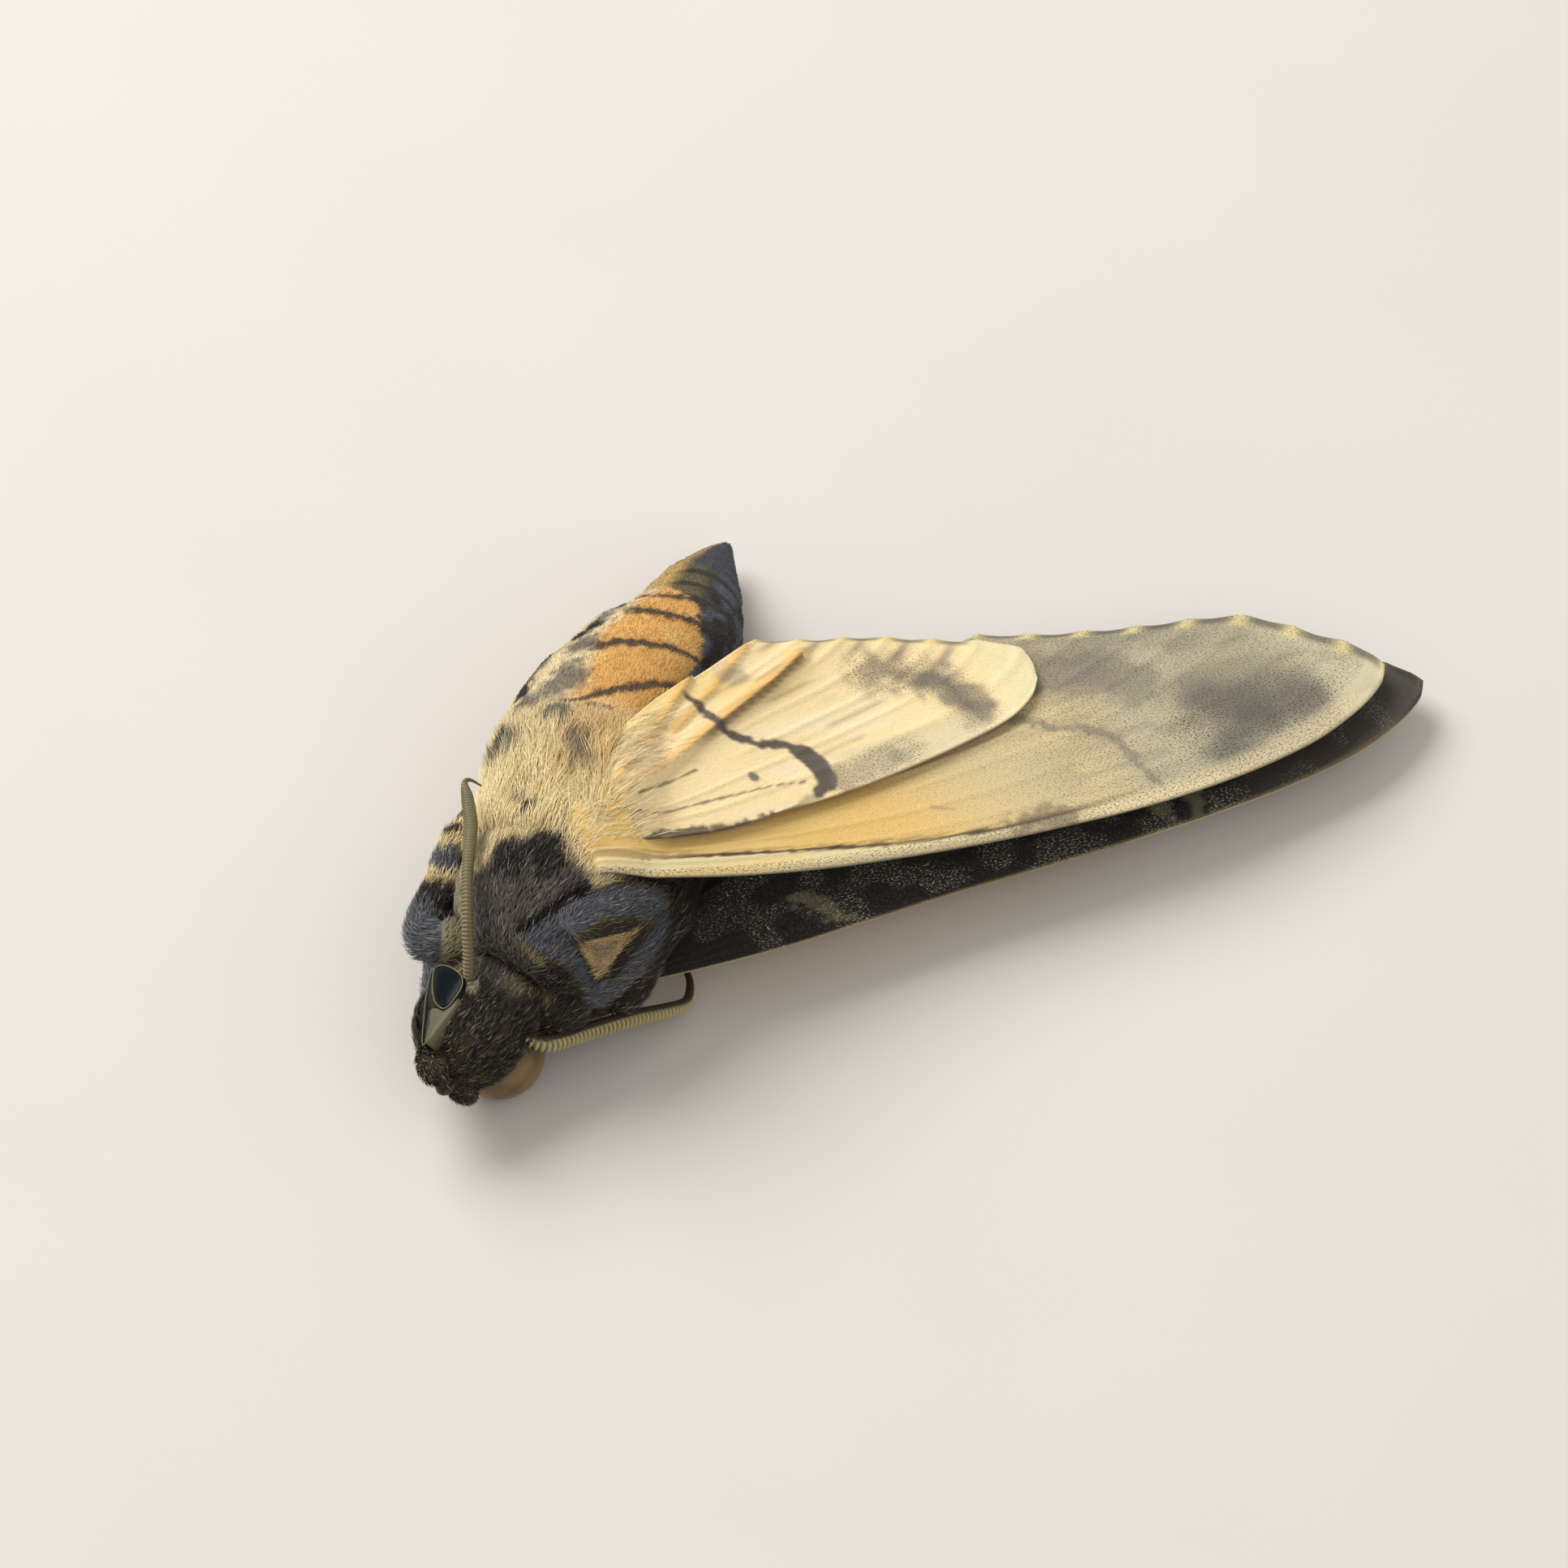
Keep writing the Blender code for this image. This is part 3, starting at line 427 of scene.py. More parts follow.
class Nodes:
    """A short way of writing a material's nodes."""

    def __init__(self, name):
        self.material = bpy.data.materials.new(name)
        self.material.use_nodes = True
        self.tree = self.material.node_tree
        self.shader = self.tree.nodes["Principled BSDF"]

    def add(self, kind, settings=None, **inputs):
        node = self.tree.nodes.new(kind)
        for key, value in (settings or {}).items():
            setattr(node, key, value)
        for key, value in inputs.items():
            self.set(node, key.replace("_", " "), value)
        return node

    def set(self, node, key, value):
        socket = node.inputs[int(key) if key.isdigit() else key]
        if isinstance(value, bpy.types.NodeSocket):
            self.tree.links.new(value, socket)
        else:
            socket.default_value = value

    def attribute(self, name, kind="Color"):
        return self.add("ShaderNodeAttribute", {"attribute_name": name}).outputs[kind]

    def place(self):
        return self.add("ShaderNodeTexCoord").outputs["Object"]

    def noise(self, where, scale, detail=2.0):
        return self.add("ShaderNodeTexNoise", Vector=where, Scale=scale, Detail=detail).outputs["Fac"]

    def maths(self, operation, a, b=0.0, clamp=False):
        node = self.add("ShaderNodeMath", {"operation": operation, "use_clamp": clamp})
        self.set(node, "0", a)
        self.set(node, "1", b)
        return node.outputs[0]

    def range(self, value, low, high):
        return self.add("ShaderNodeMapRange", Value=value, From_Min=low, From_Max=high).outputs["Result"]

    def mix(self, share, a, b, kind="MIX"):
        node = self.add("ShaderNodeMix", {"data_type": "RGBA", "blend_type": kind})
        for key, value in (("0", share), ("6", a), ("7", b)):
            if not isinstance(value, bpy.types.NodeSocket) and key != "0":
                value = (*value, 1.0)
            self.set(node, key, value)
        return node.outputs[2]

    def mottled(self, share, low, high):
        """The painted tint, multiplied by a tone between low and high."""
        return self.mix(1.0, self.attribute("tint"), self.mix(share, low, high), "MULTIPLY")

    def stretched(self, where, scale):
        node = self.add("ShaderNodeVectorMath", {"operation": "MULTIPLY"})
        self.set(node, "0", where)
        self.set(node, "1", scale)
        return node.outputs["Vector"]

    def bump(self, height, strength, distance):
        node = self.add("ShaderNodeBump", Height=height, Strength=strength, Distance=distance)
        self.set(self.shader, "Normal", node.outputs["Normal"])

    def finish(self, colour, roughness, **more):
        self.set(self.shader, "Base Color", colour)
        self.set(self.shader, "Roughness", roughness)
        for key, value in more.items():
            self.set(self.shader, key.replace("_", " "), value)
        return self.material


def skin_finish():
    n = Nodes("moth_skin")
    place = n.place()
    colour = n.mottled(n.noise(place, 9000.0, 3.0), (0.55, 0.55, 0.55), (1.25, 1.22, 1.18))
    n.bump(n.noise(n.stretched(place, (1.0, 0.35, 1.0)), 14000.0, 2.0), 0.6, 0.0001)
    return n.finish(colour, 0.75, Specular_IOR_Level=0.25)


def coat_finish():
    n = Nodes("moth_coat")
    colour = n.mottled(n.noise(n.place(), 2500.0), (0.88, 0.88, 0.88), (1.1, 1.1, 1.09))
    return n.finish(colour, 0.5, Specular_IOR_Level=0.3)


def wing_finish():
    """Scales: the painted tint, broken by dark and pale flecks where their masks are strong."""
    n = Nodes("moth_wing")
    plan = n.attribute("plan", "Vector")
    grain = n.noise(n.stretched(plan, (0.35, 1.5, 1.0)), 5.0, 3.0)
    colour = n.mottled(grain, (0.86, 0.85, 0.82), (1.10, 1.10, 1.10))
    dust = n.noise(n.stretched(plan, (0.7, 1.3, 1.0)), 9.0, 3.0)
    dark = n.maths("MULTIPLY", n.range(dust, 0.47, 0.66), n.attribute("fleck", "Fac"), True)
    colour = n.mix(dark, colour, tuple(srgb(70, 62, 52)))
    hairs = n.noise(n.stretched(plan, (1.1, 2.4, 1.0)), 5.0, 2.0)
    light = n.maths("MULTIPLY", n.range(hairs, 0.58, 0.64), n.attribute("pale", "Fac"), True)
    colour = n.mix(light, colour, tuple(srgb(206, 204, 172)))
    n.bump(n.noise(n.stretched(plan, (0.7, 2.2, 1.0)), 5.0, 3.0), 0.35, 0.00012)
    return n.finish(colour, 0.62, Specular_IOR_Level=0.3, Sheen_Weight=0.15)


def horn_finish():
    n = Nodes("moth_antenna")
    place = n.place()
    colour = n.mottled(n.noise(place, 5000.0), (0.75, 0.75, 0.72), (1.2, 1.2, 1.15))
    n.bump(n.noise(place, 12000.0), 0.4, 0.00005)
    return n.finish(colour, 0.5, Specular_IOR_Level=0.4)


def eye_finish(name, colour, deep, roughness, shine):
    """Glossy, with a faint grain of many small cells."""
    n = Nodes(name)
    place = n.place()
    cells = n.add("ShaderNodeTexVoronoi", Vector=place, Scale=11000.0).outputs["Distance"]
    tone = n.mix(n.range(n.noise(place, 500.0), 0.35, 0.65), tuple(colour), tuple(deep))
    n.bump(cells, 0.12, 0.00003)
    return n.finish(tone, roughness, Specular_IOR_Level=shine)


SKIN = skin_finish()
COAT = coat_finish()
SCALES = wing_finish()
HORN = horn_finish()


# The body's skin


def coat_depth(station, angle):
    """How far the skin lies inside the outline, which the coat's tips make."""
    cream = ramp(2.9, 3.8, station) * (1 - ramp(8.0, 9.6, station))
    flank = ramp(35, 60, np.abs(angle - BACK_MIDDLE))
    return 0.22 + 0.38 * cream * flank - 0.12 * ramp(9.0, 10.5, station)


def segment_lines(angle):
    """Stations of the dark edges of the abdomen's rings at angles round it, from front to tail."""
    away = np.abs(angle - BACK_MIDDLE)
    lean = np.clip((54 - away) / 30, -0.5, 1.6)
    return np.stack([base + slope * lean for base, slope in SEGMENT_EDGES])


def segment_place(station, angle):
    """Which ring of the abdomen places are in, how far through it, and the stations of its two edges."""
    lines = segment_lines(angle)
    index = (lines < station).sum(axis=0)
    before = np.take_along_axis(lines, np.clip(index - 1, 0, 7)[None], 0)[0]
    after = np.where(index > 7, 24.0, np.take_along_axis(lines, np.clip(index, 0, 7)[None], 0)[0])
    before = np.where(index == 0, 7.5, before)
    return index, (station - before) / np.maximum(after - before, 0.2), before, after


def body_core():
    """The trunk in fine rings, with the abdomen's plates stepping over each other."""
    rows = BODY[:: 2]
    sides = 72
    axes = tuple(a[:: 2] for a in (BODY_TANGENT, BODY_RIGHT, BODY_DORSAL))
    station = np.repeat(np.arange(len(rows))[:, None] * 0.2, sides, axis=1)
    angle = np.degrees(np.linspace(0, math.tau, sides, endpoint=False))[None, :].repeat(len(rows), 0)
    angle = np.where(angle > 180, angle - 360, angle)
    depth = coat_depth(station, angle)
    _, through, _, _ = segment_place(station.ravel(), angle.ravel())
    step = (0.16 * np.clip(through, 0, 1) ** 1.5 - 0.06).reshape(station.shape) * ramp(8.6, 9.4, station)
    away = np.abs(angle - BACK_MIDDLE)
    belly = 0.65 * np.exp(-(((station - 10.6) / 1.8) ** 2)) * ramp(65, 105, away) * (1 - ramp(140, 175, away))
    radii = np.maximum(rows[:, 3][:, None] - depth + step + belly, 0.12)
    return loft(rows, axes, radii, sides)


def tegula_axes(side):
    """Unit directions along a shoulder plate, out of the body and across."""
    out = unit(np.array(TEGULAE[side]["out"]))
    along = np.array(TEGULAE[side]["along"])
    along = unit(along - out * (along @ out))
    return along, out, np.cross(along, out)


def tegula(side, inset):
    half = np.array(TEGULAE[side]["half"]) - inset
    axes = [axis * size for axis, size in zip(tegula_axes(side), half)]
    return egg(np.array(TEGULAE[side]["centre"]), axes)


def in_head(row):
    return HEAD_CENTRE + HEAD_FORWARD * row[0] + HEAD_RIGHT * row[1] + HEAD_DORSAL * row[2]


def limb(points, count, sides, inset):
    """A tube's points and faces, with a rounded end."""
    rows = smooth_path(points, count)
    radii = np.maximum(rows[:, 3] - inset, 0.12)
    axes = path_axes(rows)
    for k, share in enumerate((0.85, 0.5)):
        rows = np.vstack([rows, rows[-1] + np.append(axes[0][-1] * radii[count - 1] * 0.45, 0)])
        radii = np.append(radii, radii[count - 1] * share)
    return loft(rows, path_axes(rows), radii, sides)


def head_parts(inset):
    return [egg(centre, [axis * (size - inset) for axis, size in zip(HEAD_AXES, half)])
            for centre, half in HEAD_EGGS]


def palp_rows(side):
    """The left palp is pressed in under the head, nearer to the middle."""
    forward, sideways, size = (1.0, 1.0, 0.92) if side == "right" else (0.9, -0.5, 0.95)
    return [(*in_head((row[0] * forward, sideways * row[1], row[2])), row[3] * size) for row in PALP]


def right_eye_axes():
    return (unit(HEAD_FORWARD - HEAD_DORSAL * 0.15) * 2.35, HEAD_DORSAL * 1.3, HEAD_RIGHT * 1.0)


def apply_modifiers(made):
    """Puts the result of an object's modifiers in place of its mesh."""
    graph = bpy.context.evaluated_depsgraph_get()
    mesh = bpy.data.meshes.new_from_object(made.evaluated_get(graph))
    made.modifiers.clear()
    made.data = mesh


def skin():
    """One skin over trunk, plates, head, palps and legs, with sockets for the eyes."""
    neck = egg(np.array((1.9, -6.15, 5.1)), np.diag((1.75, 1.35, 1.6)))
    pieces = [body_core(), tegula("right", 0.3), tegula("left", 0.3), neck, *head_parts(0.35)]
    pieces += [limb(palp_rows(side), 16, 20, 0.3) for side in ("right", "left")]
    pieces += [limb(points, 40, 20, 0.25) for points in LEGS.values()]
    points, faces = joined(pieces)
    points[:, 2] = np.maximum(points[:, 2], SKIN_FLOOR)
    made = mesh_object("moth_skin", points, faces, SKIN, "dark_fur")
    remesh = made.modifiers.new("remesh", "REMESH")
    remesh.mode = "VOXEL"
    remesh.voxel_size = SKIN_VOXEL
    blend = made.modifiers.new("blend", "SMOOTH")
    blend.iterations = 4
    sockets = []
    ball = (LEFT_EYE_RADIUS + 0.02) * np.eye(3)
    for k, shape in enumerate((egg(LEFT_EYE, ball), egg(RIGHT_EYE, right_eye_axes()))):
        socket = mesh_object(f"socket_{k}", *shape, SKIN, "dark_fur")
        cut = made.modifiers.new("socket", "BOOLEAN")
        cut.operation = "DIFFERENCE"
        cut.solver = "MANIFOLD"
        cut.object = socket
        sockets.append(socket)
    apply_modifiers(made)
    for socket in sockets:
        bpy.data.objects.remove(socket)
    made.data.shade_smooth()
    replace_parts(made, "thorax", "abdomen", "head", "palp_right", "palp_left", *LEGS)
    return made


def coordinates(mesh):
    points = np.empty(len(mesh.vertices) * 3, np.float32)
    mesh.vertices.foreach_get("co", points)
    return points.reshape(-1, 3) * 1000.0 + RESTING_PLACE


# Which part of the animal a place belongs to, and what its coat is like there


def egg_gap(points, centre, axes, half):
    """Roughly how far places are outside an ellipsoid."""
    share = np.stack([(points - centre) @ axis / size for axis, size in zip(axes, half)])
    return (np.linalg.norm(share, axis=0) - 1) * min(half)


def head_gap(points):
    return np.min([egg_gap(points, centre, HEAD_AXES, half) for centre, half in HEAD_EGGS], axis=0)


def tegula_gap(points, side):
    shape = TEGULAE[side]
    return egg_gap(points, np.array(shape["centre"]), tegula_axes(side), shape["half"])


def regions(points):
    """0 trunk, 1 head, 2 palps, 3 shoulder plates, and 4 up for legs, with each leg's nearest row."""
    gaps = [nearest_row(points, BODY[::3])[1], head_gap(points)]
    palps = [nearest_row(points, smooth_path(palp_rows(side), 16))[1] for side in TEGULAE]
    gaps.append(np.minimum(*palps))
    gaps.append(np.minimum(*(tegula_gap(points, side) for side in TEGULAE)))
    rows = []
    for path in LEG_PATHS:
        at, gap = nearest_row(points, path)
        rows.append(at)
        gaps.append(gap + 0.1)
    return np.argmin(gaps, axis=0), np.array(rows)


def leg_parts(which, rows):
    """For each leg: which places belong to it, their rows of its centre line, and that line."""
    for k, path in enumerate(LEG_PATHS):
        mine = which == k + 4
        yield mine, rows[k][mine], path


def blot(station, away, places, radius, soft, ragged):
    """Round spots at stations and degrees from the back's middle line."""
    best = np.full(len(station), 1e9)
    for at, angle in places:
        apart = np.hypot((station - at) * 1.56, np.radians(away - angle) * 5.0)
        best = np.minimum(best, apart)
    return 1 - ramp(radius, radius + soft, best + ragged)


def trunk_tint(points, station, angle):
    """The thorax: dark in front, cream behind on the flanks, dark along the back."""
    away = np.abs(angle - BACK_MIDDLE)
    flank = mirrored(points)
    colour = np.tile(LOBE, (len(points), 1))
    edge = np.interp(away, [30, 45, 60, 69, 81, 94, 180], [2.9, 3.0, 3.25, 3.15, 2.6, 1.7, 1.2])
    wave = 0.35 * (noise(points, 0.8, 11) - 0.5)
    lay(colour, ramp(-0.15, 0.25, station - edge + wave), CREAM)
    lay(colour, 0.55 * ramp(5.0, 6.2, station) * (1 - ramp(60, 75, away)), OCHRE)
    lay(colour, 0.8 * ramp(92, 108, away) * (1 - ramp(4.0, 5.5, station)), OLIVE_CREAM)
    lay(colour, 0.6 * ramp(115, 135, away) * (1 - ramp(5.0, 7.0, station)), SMOKE)
    left = angle < BACK_MIDDLE
    lay(colour, 1 - ramp(np.where(left, 58, 14), np.where(left, 74, 26), away), BROWN_BLACK)
    lay(colour, stroke(flank, [(-0.4, -0.6, 11.9), (-0.9, -0.2, 11.6)], 0.8, 0.5, 0.25), SOOT)
    lay(colour, stroke(flank, [(1.3, 0.0, 12.5), (1.6, -1.2, 12.5)], 0.85, 0.5, 0.25), SOOT)
    lay(colour, blot(station, away, [(5.1, 86), (5.0, 81), (5.5, 90)], 0.3, 0.3, 0.0), SOOT)
    streak = [(6.4, 53), (7.0, 57), (7.6, 57), (8.1, 59)]
    lay(colour, 0.85 * blot(station, away, streak, 0.3, 0.6, 0.0), SMOKE)
    lay(colour, 0.7 * blot(station, away, [(9.1, 93), (9.5, 72)], 0.4, 0.8, 0.0), SMOKE)
    seam = [(0.2, -4.1, 10.7), (1.3, -3.7, 11.3), (2.6, -2.9, 11.9)]
    lay(colour, 0.5 * stroke(flank, seam, 0.1, 0.2, 0.1), OLIVE)
    return colour


def shoulder_tint(points, colour):
    """The band along each shoulder plate and the three-cornered pale mark between them."""
    right = [(0.9, -4.9, 10.3), (1.8, -4.6, 10.7), (2.7, -4.6, 11.8), (4.5, -3.5, 12.0), (5.9, -3.0, 11.5),
             (6.6, -2.6, 11.0), (7.8, -2.3, 9.6)]
    left = [(0.9, -4.9, 10.2), (1.8, -5.3, 10.0), (3.0, -5.5, 9.5), (3.6, -5.9, 8.5), (4.3, -6.1, 7.0),
            (4.2, -6.1, 5.7), (5.3, -5.7, 6.4), (6.3, -4.8, 7.2), (7.1, -3.9, 7.9), (7.8, -2.9, 8.2)]
    lay(colour, stroke(points, [(4.6, -5.0, 9.4), (6.0, -3.2, 9.4)], 2.2, 0.8), BROWN_BLACK)
    lay(colour, 0.5 * stroke(points, right, 1.1, 0.25), OLIVE)
    lay(colour, 0.35 * stroke(points, left, 0.8, 0.2), OLIVE)
    lay(colour, stroke(points, right, 0.85, 0.25, 0.1), BLUE_GREY)
    lay(colour, stroke(points, left, 0.62, 0.25, 0.1), BLUE_GREY)
    corners = np.array([(3.3, -5.5, 10.6), (6.75, -4.2, 9.7), (4.3, -6.0, 7.7)])
    middle = corners.mean(axis=0)
    normal = unit(np.cross(corners[1] - corners[0], corners[2] - corners[0]))
    depth = np.full(len(points), 9.0)
    for a, b in zip(corners, np.roll(corners, -1, axis=0)):
        inward = unit(np.cross(normal, b - a))
        inward = inward * np.sign((middle - a) @ inward)
        depth = np.minimum(depth, (points - a) @ inward)
    near = (np.abs((points - middle) @ normal) < 2.0) & (np.linalg.norm(points - middle, axis=1) < 3.5)
    lay(colour, near * ramp(-0.42, -0.2, depth), SOOT)
    lay(colour, near * ramp(-0.1, 0.02, depth), MAUVE)
    edge = np.minimum((points - corners[0]) @ unit(np.cross(corners[2] - corners[0], normal)), depth)
    lay(colour, near * ramp(-0.12, 0.05, depth) * (1 - ramp(0.25, 0.7, np.abs(edge))), TAN)
    rear_edge = [(6.0, -4.6, 8.9), (6.5, -3.9, 9.5), (7.4, -3.0, 9.6)]
    lay(colour, 0.8 * stroke(points, rear_edge, 0.12, 0.15, 0.1), OLIVE)
    pale_edge = [(0.2, -4.9, 9.8), (0.7, -5.4, 9.3), (1.3, -5.8, 8.9), (2.1, -5.8, 9.2)]
    lay(colour, stroke(points, pale_edge, 0.06, 0.14, 0.1), srgb(140, 128, 90))
    crease = [(0.0, -4.4, 10.4), (1.1, -4.1, 11.0), (2.1, -3.5, 11.5), (3.7, -2.6, 11.9)]
    lay(colour, stroke(points, crease, 0.26, 0.2), srgb(24, 21, 19))
    collar = [(-0.6, -6.5, 8.6), (0.4, -6.5, 8.0), (1.2, -6.3, 6.8), (1.9, -6.0, 5.4), (2.2, -5.6, 3.6)]
    lay(colour, 0.75 * stroke(points, collar, 0.2, 0.6, 0.25), srgb(132, 120, 84))


def abdomen_tint(points, station, angle):
    """Orange panels between dark rings, a dark back and tail, and a cream underside with black spots."""
    away = np.abs(angle - BACK_MIDDLE)
    index, through, before, after = segment_place(station, angle)
    colour = np.tile(ORANGE, (len(points), 1))
    ragged = noise(points, 0.35, 5) - 0.5
    broad = noise(points, 1.3, 8) - 0.5
    lay(colour, 0.5 * ramp(0.3, 0.0, through) * (index > 0), srgb(196, 130, 56))
    lay(colour, 0.6 * ramp(0.55, 0.9, noise(points, 0.9, 19)), srgb(240, 200, 126))
    under = ramp(60, 76, away + 8 * ragged + 12 * broad - np.interp(station, [12, 14, 17], [0, 8, 14]))
    lay(colour, under, srgb(230, 211, 168))
    lay(colour, 0.6 * (1 - ramp(10.2, 11.6, station)) * ramp(10, 30, away), CREAM)
    width = (0.12 + 0.3 * ragged) * np.interp(away, [20, 40, 60], [0.8, 1.1, 1.3])
    nearest = np.minimum(np.abs(station - before), np.abs(after - station))
    ring = (1 - ramp(width, width + 0.26, nearest)) * (station > 10.4)
    lay(colour, 0.92 * ring * (1 - 0.75 * ramp(70, 84, away)), srgb(66, 56, 50))
    lay(colour, 0.8 * blot(station, away, [(10.2, 56), (10.4, 47)], 0.12, 0.3, 0.4 * ragged), BROWN_BLACK)
    grey = [(11.9, 74), (11.6, 77), (11.2, 84), (12.0, 80), (10.6, 98), (9.6, 74), (8.6, 102), (13.4, 84),
            (12.6, 112), (15.0, 92)]
    lay(colour, 0.85 * blot(station, away, grey, 0.45, 0.7, 0.7 * ragged), SMOKE)
    spots = [(14.1, 97), (14.5, 92), (11.8, 112), (11.4, 108), (8.9, 116), (8.3, 118), (13.0, 114),
             (16.1, 96), (17.5, 92), (9.3, 112)]
    lay(colour, blot(station, away, spots, 0.42, 0.4, 0.6 * ragged), SOOT)
    lay(colour, 0.45 * ramp(112, 130, away + 12 * ragged) * ramp(0.42, 0.64, noise(points, 1.1, 31)), SMOKE)
    back = np.interp(station, [8, 12, 15.5, 16.3, 16.7, 17.5, 18.0, 18.6], [10, 8, 8, 12, 24, 42, 62, 80])
    on_back = ramp(-4, 4, back - away + 12 * ragged)
    dark = np.tile(srgb(58, 52, 47), (len(points), 1))
    middle = ramp(0.2, 0.4, through) * (1 - ramp(0.8, 0.95, through))
    lay(dark, 0.7 * middle * ramp(30, 45, away), srgb(120, 108, 80))
    lay(dark, middle * (1 - ramp(20, 40, away)) * ramp(0.28, 0.5, noise(points, 1.0, 41)), srgb(94, 98, 110))
    colour += on_back[:, None] * (dark - colour)
    lay(colour, ramp(20.2, 20.9, station + 0.5 * ragged), srgb(70, 71, 79))
    lay(colour, 0.85 * ramp(62, 80, away) * ramp(17.6, 18.8, station), srgb(186, 154, 90))
    return colour


def leg_tint(points, which, rows):
    """Bands of cream, dark brown and blue-grey along each leg, counted from its knee."""
    colour = np.tile(BLUE_GREY, (len(points), 1))
    stops = [-9, 0.6, 1.0, 2.3, 2.6, 3.3, 3.6, 4.9, 5.2, 5.8, 6.0, 6.7, 6.9, 7.3, 7.6, 20]
    bands = [BLUE_GREY, BROWN_BLACK, CREAM, BLUE_GREY, CREAM, BROWN_BLACK, CREAM, SMOKE]
    paints = np.repeat(bands, 2, axis=0)
    for mine, at, path in leg_parts(which, rows):
        length = np.concatenate([[0], np.cumsum(np.linalg.norm(np.diff(path[:, :3], axis=0), axis=1))])
        knee = np.argmin(path[:, 0] + 0.02 * path[:, 1])
        along = length[at] - length[knee] + 0.6 * (noise(points[mine], 0.6, 13) - 0.5)
        colour[mine] = np.stack([np.interp(along, stops, paints[:, c]) for c in range(3)], axis=1)
    return colour


def head_tint(points):
    colour = np.tile(FACE, (len(points), 1))
    lay(colour, 0.4 * ramp(0.5, 0.75, noise(points, 0.35, 17)), srgb(104, 94, 66))
    lay(colour, 0.6 * ramp(0.5, 0.7, noise(points, 0.6, 29)), srgb(38, 32, 26))
    off = points - HEAD_CENTRE
    mottling = ramp(0.4, 0.6, noise(points, 0.5, 37))
    lay(colour, 0.7 * ramp(2.3, 3.6, off @ HEAD_FORWARD) * mottling, srgb(86, 76, 50))
    lay(colour, 0.9 * stroke(points, [(-2.81, -6.7, 8.4)], 0.45, 0.2), srgb(186, 172, 146))
    lay(colour, 0.9 * stroke(points, [(-3.83, -11.2, 5.9)], 0.3, 0.25), srgb(110, 66, 36))
    return colour


def coat_tint(points, known=None):
    """The coat's colour over the whole skin. Parts that are known already needn't be found again."""
    which, rows = known or regions(points)
    station, angle, _ = body_place(points)
    colour = trunk_tint(points, station, angle)
    behind = ramp(7.8, 8.8, station + 1.2 * (noise(points, 0.8, 2) - 0.5))
    colour += behind[:, None] * (abdomen_tint(points, station, angle) - colour)
    legs = which > 3
    colour[legs] = leg_tint(points[legs], which[legs], rows[:, legs])
    head = (which == 1) | (which == 2)
    colour[head] = head_tint(points[head])
    front = (which != 2) & (which < 4)
    painted = colour[front]
    shoulder_tint(points[front], painted)
    colour[front] = painted
    return colour


# Tufts


def scattered(made, density, seed):
    """Random places on a mesh with their normals. A function of place says how many a square millimetre."""
    draw = np.random.default_rng(seed)
    mesh = made.data
    mesh.calc_loop_triangles()
    corners = np.empty(len(mesh.loop_triangles) * 3, np.int32)
    mesh.loop_triangles.foreach_get("vertices", corners)
    corners = corners.reshape(-1, 3)
    points = coordinates(mesh)
    normals = np.empty(len(mesh.vertices) * 3, np.float32)
    mesh.vertices.foreach_get("normal", normals)
    normals = normals.reshape(-1, 3)
    a, b, c = (points[corners[:, k]] for k in range(3))
    area = np.linalg.norm(np.cross(b - a, c - a), axis=1) / 2
    want = area * density((a + b + c) / 3)
    count = draw.poisson(want)
    face = np.repeat(np.arange(len(area)), count)
    first, second = draw.random((2, len(face)))
    over = first + second > 1
    first[over], second[over] = 1 - first[over], 1 - second[over]
    shares = np.stack([1 - first - second, first, second], axis=1)
    place = sum(points[corners[face, k]] * shares[:, k : k + 1] for k in range(3))
    normal = unit(sum(normals[corners[face, k]] * shares[:, k : k + 1] for k in range(3)))
    return place, normal


def tuft_points(roots, normals, lies, lengths, widths, lifts, bends):
    """Seven points a tuft: three round its root, three at its middle and its tip."""
    side = unit(np.cross(normals, lies))
    flat = unit(np.cross(side, normals))
    lift = lifts[:, None]
    rising = flat * np.cos(lift) + normals * np.sin(lift) + side * bends[:, None]
    falling = flat * np.cos(lift * 0.2) + normals * np.sin(lift * 0.2) + side * bends[:, None] * 2
    up = unit(np.cross(unit(rising), side))
    up = up * np.sign(np.einsum("ij,ij->i", up, normals))[:, None]
    start = roots - normals * 0.1 - flat * 0.05
    middle = roots + rising * lengths[:, None] * 0.45
    tip = middle + falling * lengths[:, None] * 0.55
    wide = side * widths[:, None]
    thick = up * widths[:, None] * 0.8
    rings = []
    for centre, share in ((start, 0.9), (middle, 1.0)):
        rings += [centre + wide * share, centre - wide * share, centre + thick * share]
    return np.stack([*rings, tip], axis=1)


TUFT_SIDES = np.array([(0, 1, 4, 3), (1, 2, 5, 4), (2, 0, 3, 5)])
TUFT_ENDS = np.array([(3, 4, 6), (4, 5, 6), (5, 3, 6), (0, 2, 1)])
# Painted shade along each tuft's seven points: darker round the root, lighter at the tip.
TUFT_SHADE = np.array((0.86, 0.86, 0.86, 1.0, 1.0, 1.0, 1.1))
TUFT_PATCH = 0.001 * np.array(
    [(-1.5, -1.5), (1.5, -1.5), (0, -1.2), (-0.9, 0.2), (0.9, 0.2), (0, 0.4), (0, 1.5)])
TUFT_LIMIT = 19000


